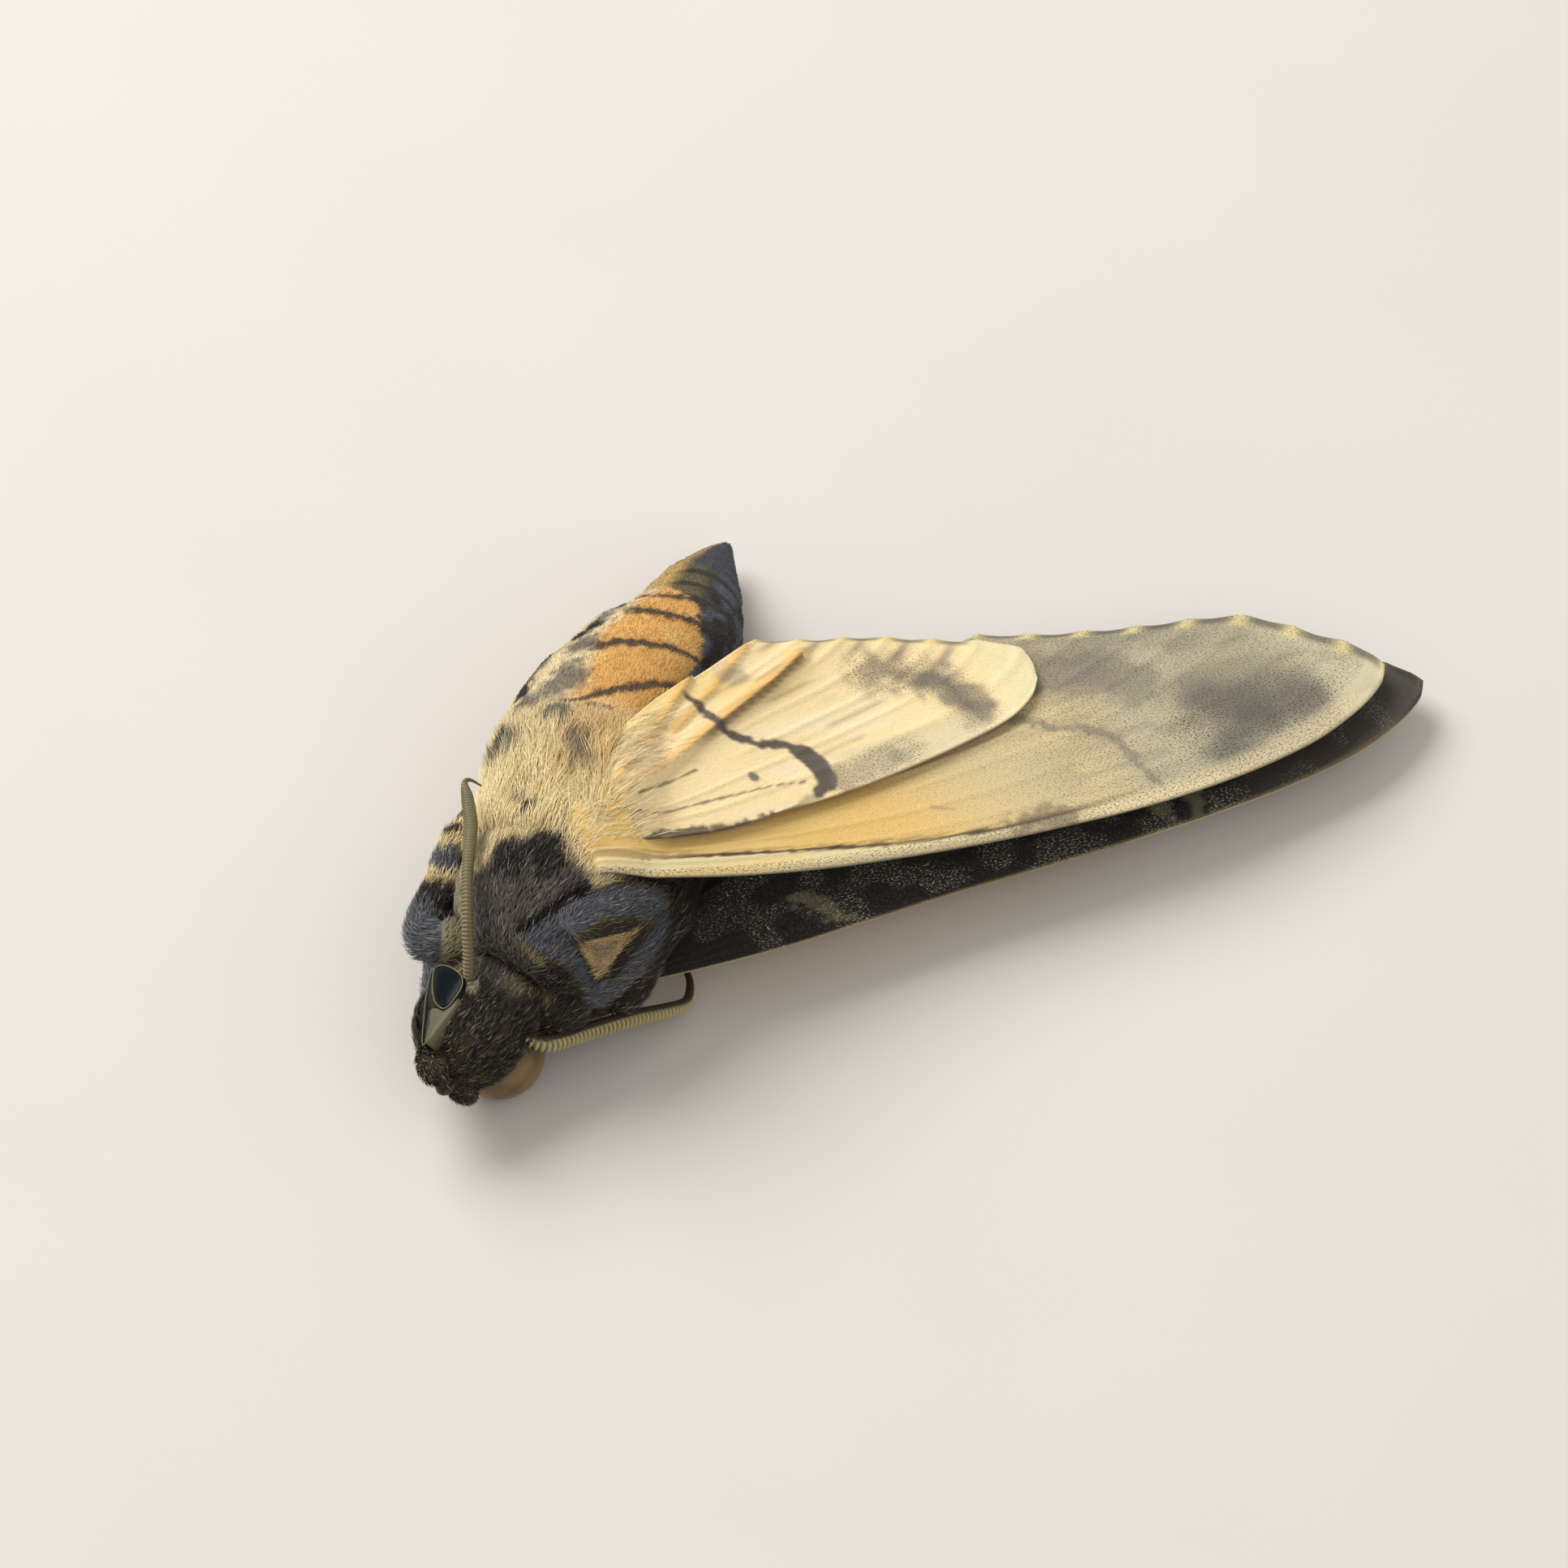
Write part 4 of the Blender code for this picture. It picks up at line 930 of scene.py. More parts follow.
def tufts(name, roots, normals, lies, lengths, widths, lifts, bends, colour, unwrapped, slot):
    """Tufts in one or more meshes, made darker at the root than at the tip by painted shade, each with a
    patch of the unwrap.
    """
    parts = max(1, math.ceil(len(roots) / TUFT_LIMIT))
    for part, chosen in enumerate(np.array_split(np.arange(len(roots)), parts)):
        points = tuft_points(roots[chosen], normals[chosen], lies[chosen], lengths[chosen], widths[chosen],
                             lifts[chosen], bends[chosen])
        points[:, :, 2] = np.maximum(points[:, :, 2], 0.02)
        count = len(chosen)
        start = np.arange(count)[:, None, None] * 7
        faces = [(TUFT_SIDES[None] + start).reshape(-1, 4), (TUFT_ENDS[None] + start).reshape(-1, 3)]
        made = mesh_object(f"{name}_{part + 1}", points.reshape(-1, 3), faces, COAT, slot)
        # Painted shade: each tuft's colour is darkened at its root and lightened at its tip.
        tint = np.clip(colour[chosen][:, None, :] * TUFT_SHADE[None, :, None], 0, 1).reshape(-1, 3)
        set_colour(made, "tint", tint)
        places = (unwrapped[chosen][:, None, :] + TUFT_PATCH[None]).reshape(-1, 2)
        corners = np.empty(len(made.data.loops), np.int32)
        made.data.loops.foreach_get("vertex_index", corners)
        layer = made.data.uv_layers.new(name="OFBake")
        layer.data.foreach_set("uv", places[corners].astype(np.float32).ravel())


def unwrap(points, which, rows, station, angle):
    """Each part of the skin laid flat in its own tile: trunk, head with palps, and six legs."""
    laid = np.zeros((len(points), 2))
    trunk = (which == 0) | (which == 3)
    laid[trunk, 0] = 0.01 + 0.6 * station[trunk] / 24
    laid[trunk, 1] = 0.01 + 0.98 * (angle[trunk] + 180) / 360
    head = (which == 1) | (which == 2)
    off = points - HEAD_CENTRE
    turn = np.arctan2(off @ HEAD_RIGHT, off @ HEAD_DORSAL) / math.tau + 0.5
    fore = np.clip((off @ HEAD_FORWARD + 5) / 11, 0, 1)
    laid[head, 0] = 0.63 + 0.36 * fore[head]
    laid[head, 1] = 0.01 + 0.47 * turn[head]
    for k, (mine, at, path) in enumerate(leg_parts(which, rows)):
        axes = path_axes(path)
        away = points[mine] - path[at, :3]
        across, above = (np.einsum("ij,ij->i", away, axes[n][at]) for n in (1, 2))
        round_it = np.arctan2(across, above)
        laid[mine, 0] = 0.63 + 0.36 * at / 60
        laid[mine, 1] = 0.5 + 0.08 * k + 0.07 * (round_it / math.tau + 0.5)
    return laid


def coat_density(points):
    """Tufts a square millimetre, with none on the floor."""
    station, _, _ = body_place(points)
    which, _ = regions(points)
    many = np.where(station > 10.0, ABDOMEN_TUFTS, THORAX_TUFTS)
    many = np.where(which > 0, HEAD_TUFTS, many)
    many = np.where(which > 3, LEG_TUFTS, many)
    return many * (points[:, 2] > 0.15)


def off_the_eyes(roots):
    """True for places that neither eye takes up."""
    axes = np.array(right_eye_axes())
    share = np.stack([(roots - RIGHT_EYE) @ unit(a) / (np.linalg.norm(a) + 0.15) for a in axes])
    left = np.linalg.norm(roots - LEFT_EYE, axis=1) < LEFT_EYE_RADIUS + 0.12
    return ~(left | (np.linalg.norm(share, axis=0) < 1))


def combed(roots, which, rows, station, at, cream):
    """Which way the coat lies, how long it is and how far it stands up, by part of the body."""
    lies = BODY_TANGENT[at].copy()
    lengths = 0.8 + 0.45 * ramp(1.2, 2.6, station) + 1.4 * cream
    behind = np.interp(station, [8.0, 9.4, 10.4, 24], [2.2, 1.0, 0.32, 0.28])
    lengths = np.where(station > 8.0, behind, lengths)
    lifts = 0.32 + 0.12 * cream - 0.2 * ramp(9.8, 11, station)
    head = which == 1
    off = roots - HEAD_CENTRE
    swirl = -HEAD_FORWARD + 0.5 * HEAD_DORSAL
    lies[head] = unit(swirl + 0.15 * off[head] / 3)
    lengths[head] = 0.62 + 0.4 * ramp(0.0, -2.5, off[head] @ HEAD_FORWARD)
    lifts[head] = 0.6
    beard = head * (1 - ramp(1.0, 2.0, np.linalg.norm(roots - (0.9, -7.0, 4.9), axis=1)))
    lies = unit(lies + 3 * beard[:, None] * np.array((1.0, -0.6, -0.3)))
    lengths = lengths + 1.0 * beard
    lifts = lifts + 0.35 * beard
    palps = which == 2
    lies[palps] = unit(HEAD_FORWARD * 0.6 + HEAD_DORSAL)
    lengths[palps] = 0.55
    lifts[palps] = 0.6
    plates = which == 3
    for side in TEGULAE:
        mine = plates & (tegula_gap(roots, side) < 0.4)
        lies[mine] = unit(np.array(TEGULAE[side]["along"]))
    lengths[plates] = 0.8
    lifts[plates] = 0.22
    for mine, row, path in leg_parts(which, rows):
        lies[mine] = path_axes(path)[0][row]
        lengths[mine] = np.clip(path[row, 3] * 0.8, 0.3, 0.85)
        lifts[mine] = 0.3
    return lies, lengths, lifts


def body_coat(made):
    """Tufts over the whole skin, sized, leaned and coloured by where they grow."""
    roots, normals = scattered(made, coat_density, SEED)
    free = off_the_eyes(roots)
    roots, normals = roots[free], normals[free]
    count = len(roots)
    draw = np.random.default_rng(SEED + 1)
    which, rows = regions(roots)
    station, angle, at = body_place(roots)
    away = np.abs(angle - BACK_MIDDLE)
    cream = ramp(3.0, 3.9, station) * (1 - ramp(8.4, 9.8, station)) * ramp(28, 45, away)
    lies, lengths, lifts = combed(roots, which, rows, station, at, cream)
    sway = np.stack([noise(roots, 1.1, 50 + k) - 0.5 for k in range(3)], axis=1)
    stray = (0.14 - 0.03 * cream)[:, None] * draw.normal(size=(count, 3))
    lies = unit(lies + stray + (0.2 + 0.9 * cream)[:, None] * sway)
    flat_mark = stroke(roots, [(4.5, -5.3, 9.6)], 1.3, 0.5)
    lengths = np.where((which == 3) | (which == 0), lengths * (1 - 0.6 * flat_mark), lengths)
    parted = blot(station, away, [(4.6, 84), (5.3, 86)], 0.8, 0.5, 0.0)
    lengths = lengths * (1 - 0.55 * parted)
    shown = roots + lies * (0.45 * lengths)[:, None] + normals * 0.1
    colour = coat_tint(shown, (which, rows))
    lengths = lengths * draw.uniform(0.65, 1.3, count)
    lifts = np.clip(lifts + 0.12 * draw.normal(size=count), 0.08, 1.2)
    bends = (0.12 - 0.04 * cream) * draw.normal(size=count)
    tone = draw.uniform(0.84, 1.08, count)
    # Painted highlight: about a tenth of the tufts on the front of the body are paled, for the sheen on silky
    # hair.
    pale = (draw.random(count) < 0.10) & (station < 4)
    colour = colour * (tone * (1 + 0.12 * cream))[:, None]
    colour[pale] = 0.55 * colour[pale] + 0.45 * srgb(176, 168, 150)
    widths = (TUFT_WIDTH - 0.004 * cream) * draw.uniform(0.75, 1.3, count)
    order = np.argsort(station + 40 * (which > 0) + 40 * (which > 3))
    spots = unwrap(roots, which, rows, station, angle)
    values = (roots, normals, lies, lengths, widths, lifts, bends, colour, spots)
    tufts("coat", *(each[order] for each in values), "dark_fur")


# Wings


def wing_plan(fore, u, v):
    """Plan millimetres on a grid: u runs from base to margin, v from costa to inner margin."""
    count = 81
    edges = (FORE_COSTA, FORE_INNER, FORE_TERMEN) if fore else (HIND_COSTA, HIND_INNER, HIND_TERMEN)
    costa, inner, termen = (smooth_path([(*p, 0.0) for p in edge], count)[:, :2] for edge in edges)
    grid = np.linspace(0, 1, count)

    def along(curve, t):
        return np.stack([np.interp(t, grid, curve[:, k]) for k in range(2)], axis=-1)

    u, v = u[..., None], v[..., None]
    front = (1 - u) * (1 - v) * costa[0] + u * (1 - v) * costa[-1]
    corners = front + (1 - u) * v * inner[0] + u * v * inner[-1]
    root = (1 - v) * costa[0] + v * inner[0]
    flat = along(costa, u[..., 0]) * (1 - v) + along(inner, u[..., 0]) * v
    return flat + (1 - u) * root + u * along(termen, v[..., 0]) - corners


def body_top(x, y):
    """Height of the trunk's upper surface over places on the floor."""
    top = np.full(x.shape, -9.0)
    for row in BODY[::2]:
        apart = (row[0] - x) ** 2 + (row[1] - y) ** 2
        under = apart < row[3] ** 2
        top = np.where(under, np.maximum(top, row[2] + np.sqrt(np.where(under, row[3] ** 2 - apart, 0))), top)
    return top


def smooth_max(a, b, blend=0.6):
    share = np.maximum(blend - np.abs(a - b), 0) / blend
    return np.maximum(a, b) + share * share * blend / 4


def right_fore_height(x, y):
    beside = np.maximum(0.0, x - np.interp(y, BODY[:, 1], BODY[:, 0]))
    return 3.3 - 0.006 * (x - 26.2) - 0.154 * (y - 21.9) + 5.0 * np.exp(-((beside / 12) ** 2))


def right_hind_height(x, y):
    dip = 1.5 * np.exp(-(((x - 1.0) / 2.2) ** 2) - ((y - 1.2) / 2.6) ** 2)
    along = (x - 4.2) * 0.863 + (y - 2.3) * 0.505
    across = (y - 2.3) * 0.863 - (x - 4.2) * 0.505
    root = 1.7 * (1 - ramp(-1.8, 3.0, along - 0.9 * np.maximum(across - 1.5, 0)))
    return smooth_max(right_fore_height(x, y) + LAYER_STEP, body_top(x, y) + 0.5) - np.maximum(dip, root)


def fore_over_body(x, y):
    """The right forewing lies on the thorax's flank and goes into it at its root."""
    along = (x - 4.4) * 0.915 + (y + 1.2) * 0.403
    return smooth_max(right_fore_height(x, y), body_top(x, y) + 0.2) - 2.0 * (1 - ramp(-1.8, 0.2, along))


def left_fore_height(x, y):
    return 4.4 + 0.013 * (x - 8.3) - 0.128 * (y + 2.8)


def left_hind_height(x, y):
    sag = 0.9 * np.clip((x - 10.0) / 16.0, 0, 1) ** 1.5
    return smooth_max(left_fore_height(x, y) - LAYER_STEP - 0.3 - sag, np.full(x.shape, 0.14), 0.3)


HEIGHTS = {
    "forewing_right": fore_over_body,
    "hindwing_right": right_hind_height,
    "forewing_left": left_fore_height,
    "hindwing_left": left_hind_height,
}

# Folds and marks of the wings, in plan millimetres
HIND_PLEATS = [
    ([(17.5, 6.9), (14.8, 5.6), (12.0, 4.5), (9.9, 3.6), (5.1, 1.4), (1.0, -0.5)], 0.6, 0.9),
    ([(10.3, 7.3), (6.8, 4.7), (2.3, 1.1)], 0.35, 0.7),
    ([(14.7, 8.4), (11.8, 6.6), (7.7, 4.2)], 0.16, 0.6),
]
HIND_LINE = [(9.6, 6.3), (9.9, 5.0), (10.1, 3.9), (10.8, 3.0), (11.9, 2.1), (13.4, 1.7), (14.1, 0.8),
             (14.5, -0.3), (14.4, -1.5), (13.3, -2.2)]
HIND_GREY_BAND = [(20.7, 4.9), (22.0, 4.7), (23.4, 3.9), (24.8, 2.8), (25.0, 1.3), (25.2, -0.2)]
HIND_VEIN_LINES = [
    [(-0.1, -0.7), (3.6, -1.2), (7.8, -1.0), (11.0, -0.9), (13.0, -1.1)],
    [(2.8, 0.1), (5.0, 0.8), (7.3, 1.3)],
]
HIND_COSTAL_HAIR = [(-0.9, -2.1), (2.8, -2.6), (5.6, -3.0), (8.3, -3.1), (10.9, -2.9), (13.3, -2.3)]
FORE_LINE = [(28.1, 5.4), (30.4, 3.6), (32.6, 2.5), (33.2, 0.9), (33.4, -0.8), (33.8, -2.9)]
FORE_COSTAL_LINE = [(0.0, 0.6), (3.3, 0.0), (8.5, -0.5), (14.1, -1.0), (19.6, -1.9), (25.1, -2.7),
                    (32.7, -3.2)]


def vein_height(u, v, fore):
    """Ridges that fan out from the root, with the cell left smooth."""
    count = FORE_VEINS if fore else HIND_VEINS
    rows = v * count
    apart = np.abs(rows - np.round(rows)) / count * 11.0
    which = np.round(rows)
    middle = np.abs(which - count / 2) <= 1
    strength = np.where(middle, ramp(0.42, 0.52, u), np.minimum(1, 0.4 + 3 * u))
    return 0.10 * strength * np.exp(-((apart / 0.16) ** 2))


def pleat_height(places):
    rise = np.zeros(len(places))
    for line, high, wide in HIND_PLEATS:
        side = -line_distance(places, line, signed=True)
        inner = np.where(side > 0, np.exp(-((side / wide) ** 2)), np.exp(-((side / 0.12) ** 2)))
        rise += high * inner
    return rise


def fringe(colour, u, v, fore, dark, spot):
    """A scalloped dark edge with a pale spot at each vein's end."""
    count = FORE_VEINS if fore else HIND_VEINS
    rows = v * count
    at_vein = np.exp(-(((rows - np.round(rows)) / 0.17) ** 2))
    edge = ramp(0.980, 0.992, u)
    lay(colour, 0.75 * edge, dark)
    lay(colour, 0.85 * ramp(0.972, 0.985, u) * at_vein, spot)


def fore_underside(places, u, v):
    a, c = places[:, 0], places[:, 1]
    colour = np.tile(OCHRE, (len(places), 1))
    lay(colour, 0.8 * ramp(17, 27, a + 0.5 * c), srgb(200, 186, 146))
    lay(colour, 0.75 * ramp(30, 36, a), OLIVE_GREY)
    lay(colour, 0.7 * ramp(44.5, 48, a + 0.4 * np.abs(c - 3)), srgb(206, 198, 164))
    lay(colour, 0.6 * ramp(5.5, 8.0, c) * ramp(24, 28, a), srgb(160, 152, 128))
    pale_band = [(34.5, -2.5), (35.5, 2.0), (37.0, 6.0)]
    lay(colour, 0.45 * stroke(places, pale_band, 1.2, 1.5, 0.6), srgb(196, 186, 152))
    lay(colour, 0.6 * stroke(places, FORE_LINE, 0.1, 0.45, 0.25, 3, 0.35), SMOKE)
    rear_cloud = [(31.3, 8.1), (33.4, 7.4), (35.0, 6.6), (36.2, 5.1)]
    lay(colour, 0.55 * stroke(places, rear_cloud, 1.0, 1.4, 0.5), SMOKE)
    tip_cloud = [(44.2, 0.2), (42.0, 1.0), (39.8, 2.4)]
    lay(colour, 0.75 * stroke(places, tip_cloud, 0.6, 2.8, 0.6, 4, 1.2), srgb(88, 82, 78))
    front_cloud = [(41.6, 0.2), (39.8, -1.0), (38.8, -2.2)]
    lay(colour, 0.7 * stroke(places, front_cloud, 0.4, 1.8, 0.5, 4, 0.8), srgb(84, 82, 80))
    lay(colour, 0.25 * ramp(24, 32, a) * ramp(0.45, 0.7, noise(places * (0.35, 1.6), 1.0, 6)), SMOKE)
    lay(colour, 0.5 * stroke(places, [(20.8, 0.4), (22.1, -0.2)], 0.03, 0.12, 0.05), srgb(150, 126, 84))
    inside = line_distance(places, FORE_COSTAL_LINE, signed=True)
    strip = ramp(0.05, -0.15, inside) * (1 - ramp(36, 42, a))
    lay(colour, strip, srgb(226, 208, 158))
    # Painted shade: a dark line along the subcostal vein, for the shade in the crease where the costal strip
    # bends.
    lay(colour, stroke(places, FORE_COSTAL_LINE, 0.07, 0.12, 0.05) * (1 - ramp(26, 33, a)), srgb(76, 58, 38))
    beside = [(x, y + 0.3) for x, y in FORE_COSTAL_LINE]
    lay(colour, 0.6 * stroke(places, beside, 0.03, 0.08, 0.04), srgb(150, 124, 76))
    lay(colour, 0.95 * stroke(places, [(-0.3, 0.45), (2.9, -0.05)], 0.12, 0.1, 0.08, 3, 0.2), SOOT)
    lay(colour, 0.5 * ramp(0.05, 0.015, v) * (1 - ramp(26, 32, a)), srgb(120, 104, 80))
    lay(colour, 0.75 * ramp(0.075, 0.035, v) * ramp(28, 34, a) * (1 - ramp(47, 49, a)), srgb(212, 196, 156))
    streaks = ramp(0.55, 0.8, noise(places * (0.25, 2.0), 1.2, 14))
    lay(colour, 0.6 * ramp(0.5, 0.2, u) * streaks, srgb(232, 200, 132))
    fringe(colour, u, v, True, srgb(82, 74, 66), srgb(232, 214, 150))
    fleck = 0.1 + 0.2 * ramp(10, 18, a) + 0.4 * ramp(22, 32, a)
    fleck = fleck + 0.5 * stroke(places, [(44, 0), (39, 0)], 1.5, 2.5)
    lay(colour, 0.6 * stroke(places, [(25.2, -2.6), (27.5, -3.0)], 0.4, 0.8, 0.5, 7, 0.4), srgb(92, 78, 58))
    fleck = np.where(v < 0.07, 0.9 * (1 - ramp(45, 49, a)), fleck)
    return colour, fleck, np.zeros(len(places))


def hind_underside(places, u, v):
    a, c = places[:, 0], places[:, 1]
    colour = np.tile(srgb(240, 216, 164), (len(places), 1))
    lay(colour, 0.7 * ramp(2.6, 5.0, c - 0.1 * a) * (1 - ramp(14, 19, a)), srgb(226, 194, 122))
    lay(colour, 0.55 * ramp(0.5, 0.8, noise(places * (0.3, 1.0), 1.4, 22)), CREAM_PALE)
    for line, _, wide in HIND_PLEATS:
        side = -line_distance(places, line, signed=True)
        lay(colour, 0.8 * ramp(wide * 1.1, 0.1, side) * (side > 0), srgb(224, 172, 84))
        # Painted shade: a dark line in each fold's crease, where the wing drops away.
        crease = (1 - ramp(0.04, 0.22, np.abs(side + 0.05))) * (ramp(7, 10, a) if wide > 0.8 else 0.25)
        lay(colour, 0.85 * crease, srgb(98, 74, 44))
    reach = line_distance(places, [(14.3, 0.4), (14.5, -1.0)])
    width = 0.15 + 0.6 * np.exp(-((reach / 1.0) ** 2))
    apart = line_distance(places, HIND_LINE) + 0.3 * (noise(places, 0.35, 3) - 0.5)
    lay(colour, 0.95 * (1 - ramp(width, width + 0.28, apart)), srgb(72, 63, 62))
    front_smudge = [(15.2, -1.8), (17.0, -1.4), (19.3, -1.0)]
    lay(colour, 0.5 * stroke(places, front_smudge, 0.45, 0.7, 0.5, 8, 0.5), SMOKE)
    lay(colour, 0.8 * stroke(places, [(19.1, -1.0)], 0.25, 0.4, 0.2), SMOKE)
    lay(colour, 0.8 * stroke(places, HIND_GREY_BAND, 0.1, 1.7, 0.7, 12, 0.8), SMOKE)
    lay(colour, 0.55 * stroke(places, [(24.0, 3.0), (25.6, 1.0)], 0.6, 0.9, 0.5, 12, 0.6), SMOKE)
    lay(colour, 0.85 * stroke(places, [(10.3, 0.0)], 0.24, 0.2, 0.08), srgb(84, 74, 68))
    for line in HIND_VEIN_LINES:
        lay(colour, 0.8 * stroke(places, line, 0.035, 0.09, 0.05), srgb(92, 76, 56))
    lay(colour, stroke(places, [(-0.1, -0.7), (2.4, -1.0)], 0.06, 0.08, 0.04), SOOT)
    costal_hair = stroke(places, HIND_COSTAL_HAIR, 0.12, 0.3, 0.2, 3, 0.3)
    lay(colour, 0.9 * costal_hair * (1 - 0.6 * ramp(10, 13.5, a)), srgb(70, 60, 52))
    rows = v * HIND_VEINS
    between = np.exp(-(((rows - np.floor(rows) - 0.5) / 0.11) ** 2))
    patchy = ramp(0.48, 0.68, noise(places * (0.4, 0.8), 1.0, 33))
    dashes = between * patchy * ramp(12, 14, a) * (1 - ramp(25.5, 27, a))
    lay(colour, 0.45 * dashes, srgb(122, 106, 84))
    lay(colour, 0.55 * ramp(0.9, 0.97, u) * (1 - ramp(26, 28, a)) * between, SMOKE)
    lay(colour, 0.5 * stroke(places, [(13.0, 7.0)], 0.4, 0.8, 0.3), SMOKE)
    lay(colour, 0.5 * ramp(0.5, 0.0, c) * ramp(14.5, 17, a) * (1 - ramp(23, 26, a)), srgb(196, 186, 152))
    fringe(colour, u, v, False, srgb(92, 82, 70), srgb(236, 214, 146))
    lay(colour, ramp(27, 28.5, a), srgb(228, 214, 168))
    fleck = 0.12 + 0.6 * stroke(places, [(15.0, -1.8), (17.0, -1.4), (20.0, -1.0)], 0.7, 1.0)
    fleck = fleck + 0.6 * stroke(places, [(20.7, 4.9), (23.4, 4.0), (24.8, 2.8), (25.2, -0.2)], 0.7, 1.6)
    return colour, fleck, np.zeros(len(places))


def fore_upperside(places, u, v):
    """Black-brown with clusters of pale flecks, black patches and buff bands."""
    a = places[:, 0]
    colour = np.tile(srgb(20, 19, 18), (len(places), 1))
    cloud = noise(places, 1.5, 61)
    buff = srgb(156, 148, 112)
    bands = [([(9.4, 1.6), (9.8, 0.4), (10.8, -0.8)], 0.35), ([(31.4, -2.9), (31.2, -1.0)], 0.3),
             ([(33.4, -3.4), (33.6, 2.0)], 0.3), ([(28.5, 0.0), (27.5, 6.0)], 0.4)]
    for line, width in bands:
        lay(colour, 0.5 * stroke(places, line, width, 0.6, 0.8, 8, 0.5), buff)
    lay(colour, 0.25 * ramp(0.45, 0.75, cloud), srgb(60, 58, 48))
    lay(colour, stroke(places, [(32.3, -3.3), (32.5, 0.0)], 0.35, 0.3, 0.2), srgb(16, 15, 14))
    lay(colour, 0.6 * ramp(35, 38, a), srgb(74, 66, 56))
    lay(colour, ramp(0.018, 0.008, v) * (1 - ramp(45, 50, a)), srgb(112, 94, 68))
    fringe(colour, u, v, True, srgb(30, 27, 25), srgb(84, 74, 58))
    pale = 0.12 + 0.9 * ramp(0.42, 0.72, cloud) + 0.5 * stroke(places, [(9.6, 1.2), (10.8, -0.8)], 0.8, 1.0)
    pale = pale * (0.5 + 0.5 * ramp(3, 9, a)) * (1 - 0.5 * ramp(35, 38, a))
    return colour, np.full(len(places), 0.3), pale


def hind_upperside(places, u, v):
    """Yellow with two dark bands, and painted shade that darkens the root, which lies in shade under the
    thorax and the forewing.
    """
    colour = np.tile(srgb(214, 160, 66), (len(places), 1))
    lay(colour, stroke(places, [(14.0, -3.0), (15.5, 1.0), (13.5, 8.0)], 1.0, 0.6, 0.4), BROWN_BLACK)
    lay(colour, ramp(0.78, 0.84, u + 0.03 * noise(places, 1.5, 71)) * (1 - ramp(0.94, 0.96, u)), BROWN_BLACK)
    lay(colour, 0.8 * ramp(0.12, 0.0, v), srgb(150, 120, 70))
    # Painted shade: the root is darkened to brown-black, where it lies in shade under the thorax and the
    # forewing.
    lay(colour, 1 - ramp(6, 11, places[:, 0]), BROWN_BLACK)
    fringe(colour, u, v, False, srgb(60, 50, 40), srgb(220, 180, 90))
    return colour, np.full(len(places), 0.25), np.zeros(len(places))


def sheet_faces(rows, columns):
    """Quads of a closed sheet: its upper face, its lower face and the edge between them."""
    count = rows * columns
    a = (np.arange(columns - 1)[:, None] * rows + np.arange(rows - 1)).ravel()
    upper = np.column_stack([a, a + rows, a + rows + 1, a + 1])
    front = np.arange(columns - 1) * rows
    tip = (columns - 1) * rows + np.arange(rows - 1)
    rear = np.arange(columns - 1, 0, -1) * rows + rows - 1
    loop = np.concatenate([front, tip, rear, np.arange(rows - 1, 0, -1)])
    after = np.roll(loop, -1)
    edge = np.column_stack([loop, loop + count, after + count, after])
    return np.vstack([upper, upper[:, ::-1] + count, edge])


def wing(name, rows, columns):
    """A thin sheet with veins, folds and a scalloped margin, coloured on both faces."""
    shape = WINGS[name]
    fore, right = shape["fore"], name.endswith("right")
    u, v = np.meshgrid(np.linspace(0, 1, columns), np.linspace(0, 1, rows), indexing="ij")
    places = wing_plan(fore, u, v)
    outward = unit(np.gradient(places, axis=0))
    count = FORE_VEINS if fore else HIND_VEINS
    places = places - outward * (0.17 * (0.5 - 0.5 * np.cos(math.tau * v * count)) * u**60)[..., None]
    flat = places.reshape(-1, 2)
    turn = math.radians(shape["heading"])
    along, across = flat[:, 0] * shape["span"], flat[:, 1] * shape["chord"]
    if name == "forewing_left":
        across = across - 0.65 * ramp(30, 50, flat[:, 0])
    x = shape["base"][0] + along * math.cos(turn) - across * math.sin(turn)
    y = shape["base"][1] + along * math.sin(turn) + across * math.cos(turn)
    us, vs = u.ravel(), v.ravel()
    middle = HEIGHTS[name](x, y)
    middle = middle + 0.10 * (noise(flat, 5.0, 81) - 0.5) * ramp(4, 10, flat[:, 0])
    if name == "hindwing_right":
        middle = middle + pleat_height(flat) * ramp(0, 4, flat[:, 0])
    veins = vein_height(us, vs, fore)
    rim = np.minimum(np.minimum(us, 1 - us) * 3, np.minimum(vs, 1 - vs) * 1.2)
    half = WING_SHEET / 2 * (0.25 + 0.75 * ramp(0, 0.06, rim))
    top = np.column_stack([x, y, middle + half + veins])
    low = np.column_stack([x, y, np.maximum(middle - half - veins * 0.3, 0.01)])
    slot = "wing" if right else "wing_dark"
    made = mesh_object(name + "_scales", np.vstack([top, low]), sheet_faces(rows, columns), SCALES, slot)
    under = fore_underside if fore else hind_underside
    over = fore_upperside if fore else hind_upperside
    first, second = (under, over) if right else (over, under)
    painted = [paint(flat, us, vs) for paint in (first, second)]
    set_colour(made, "tint", np.vstack([p[0] for p in painted]))
    set_values(made, "fleck", "FLOAT", "value", np.concatenate([p[1] for p in painted]))
    set_values(made, "pale", "FLOAT", "value", np.concatenate([p[2] for p in painted]))
    plan = np.column_stack([flat, np.zeros(len(flat))])
    set_values(made, "plan", "FLOAT_VECTOR", "vector", np.vstack([plan, plan + (0, 0, 5)]))
    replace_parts(made, name)
    return made


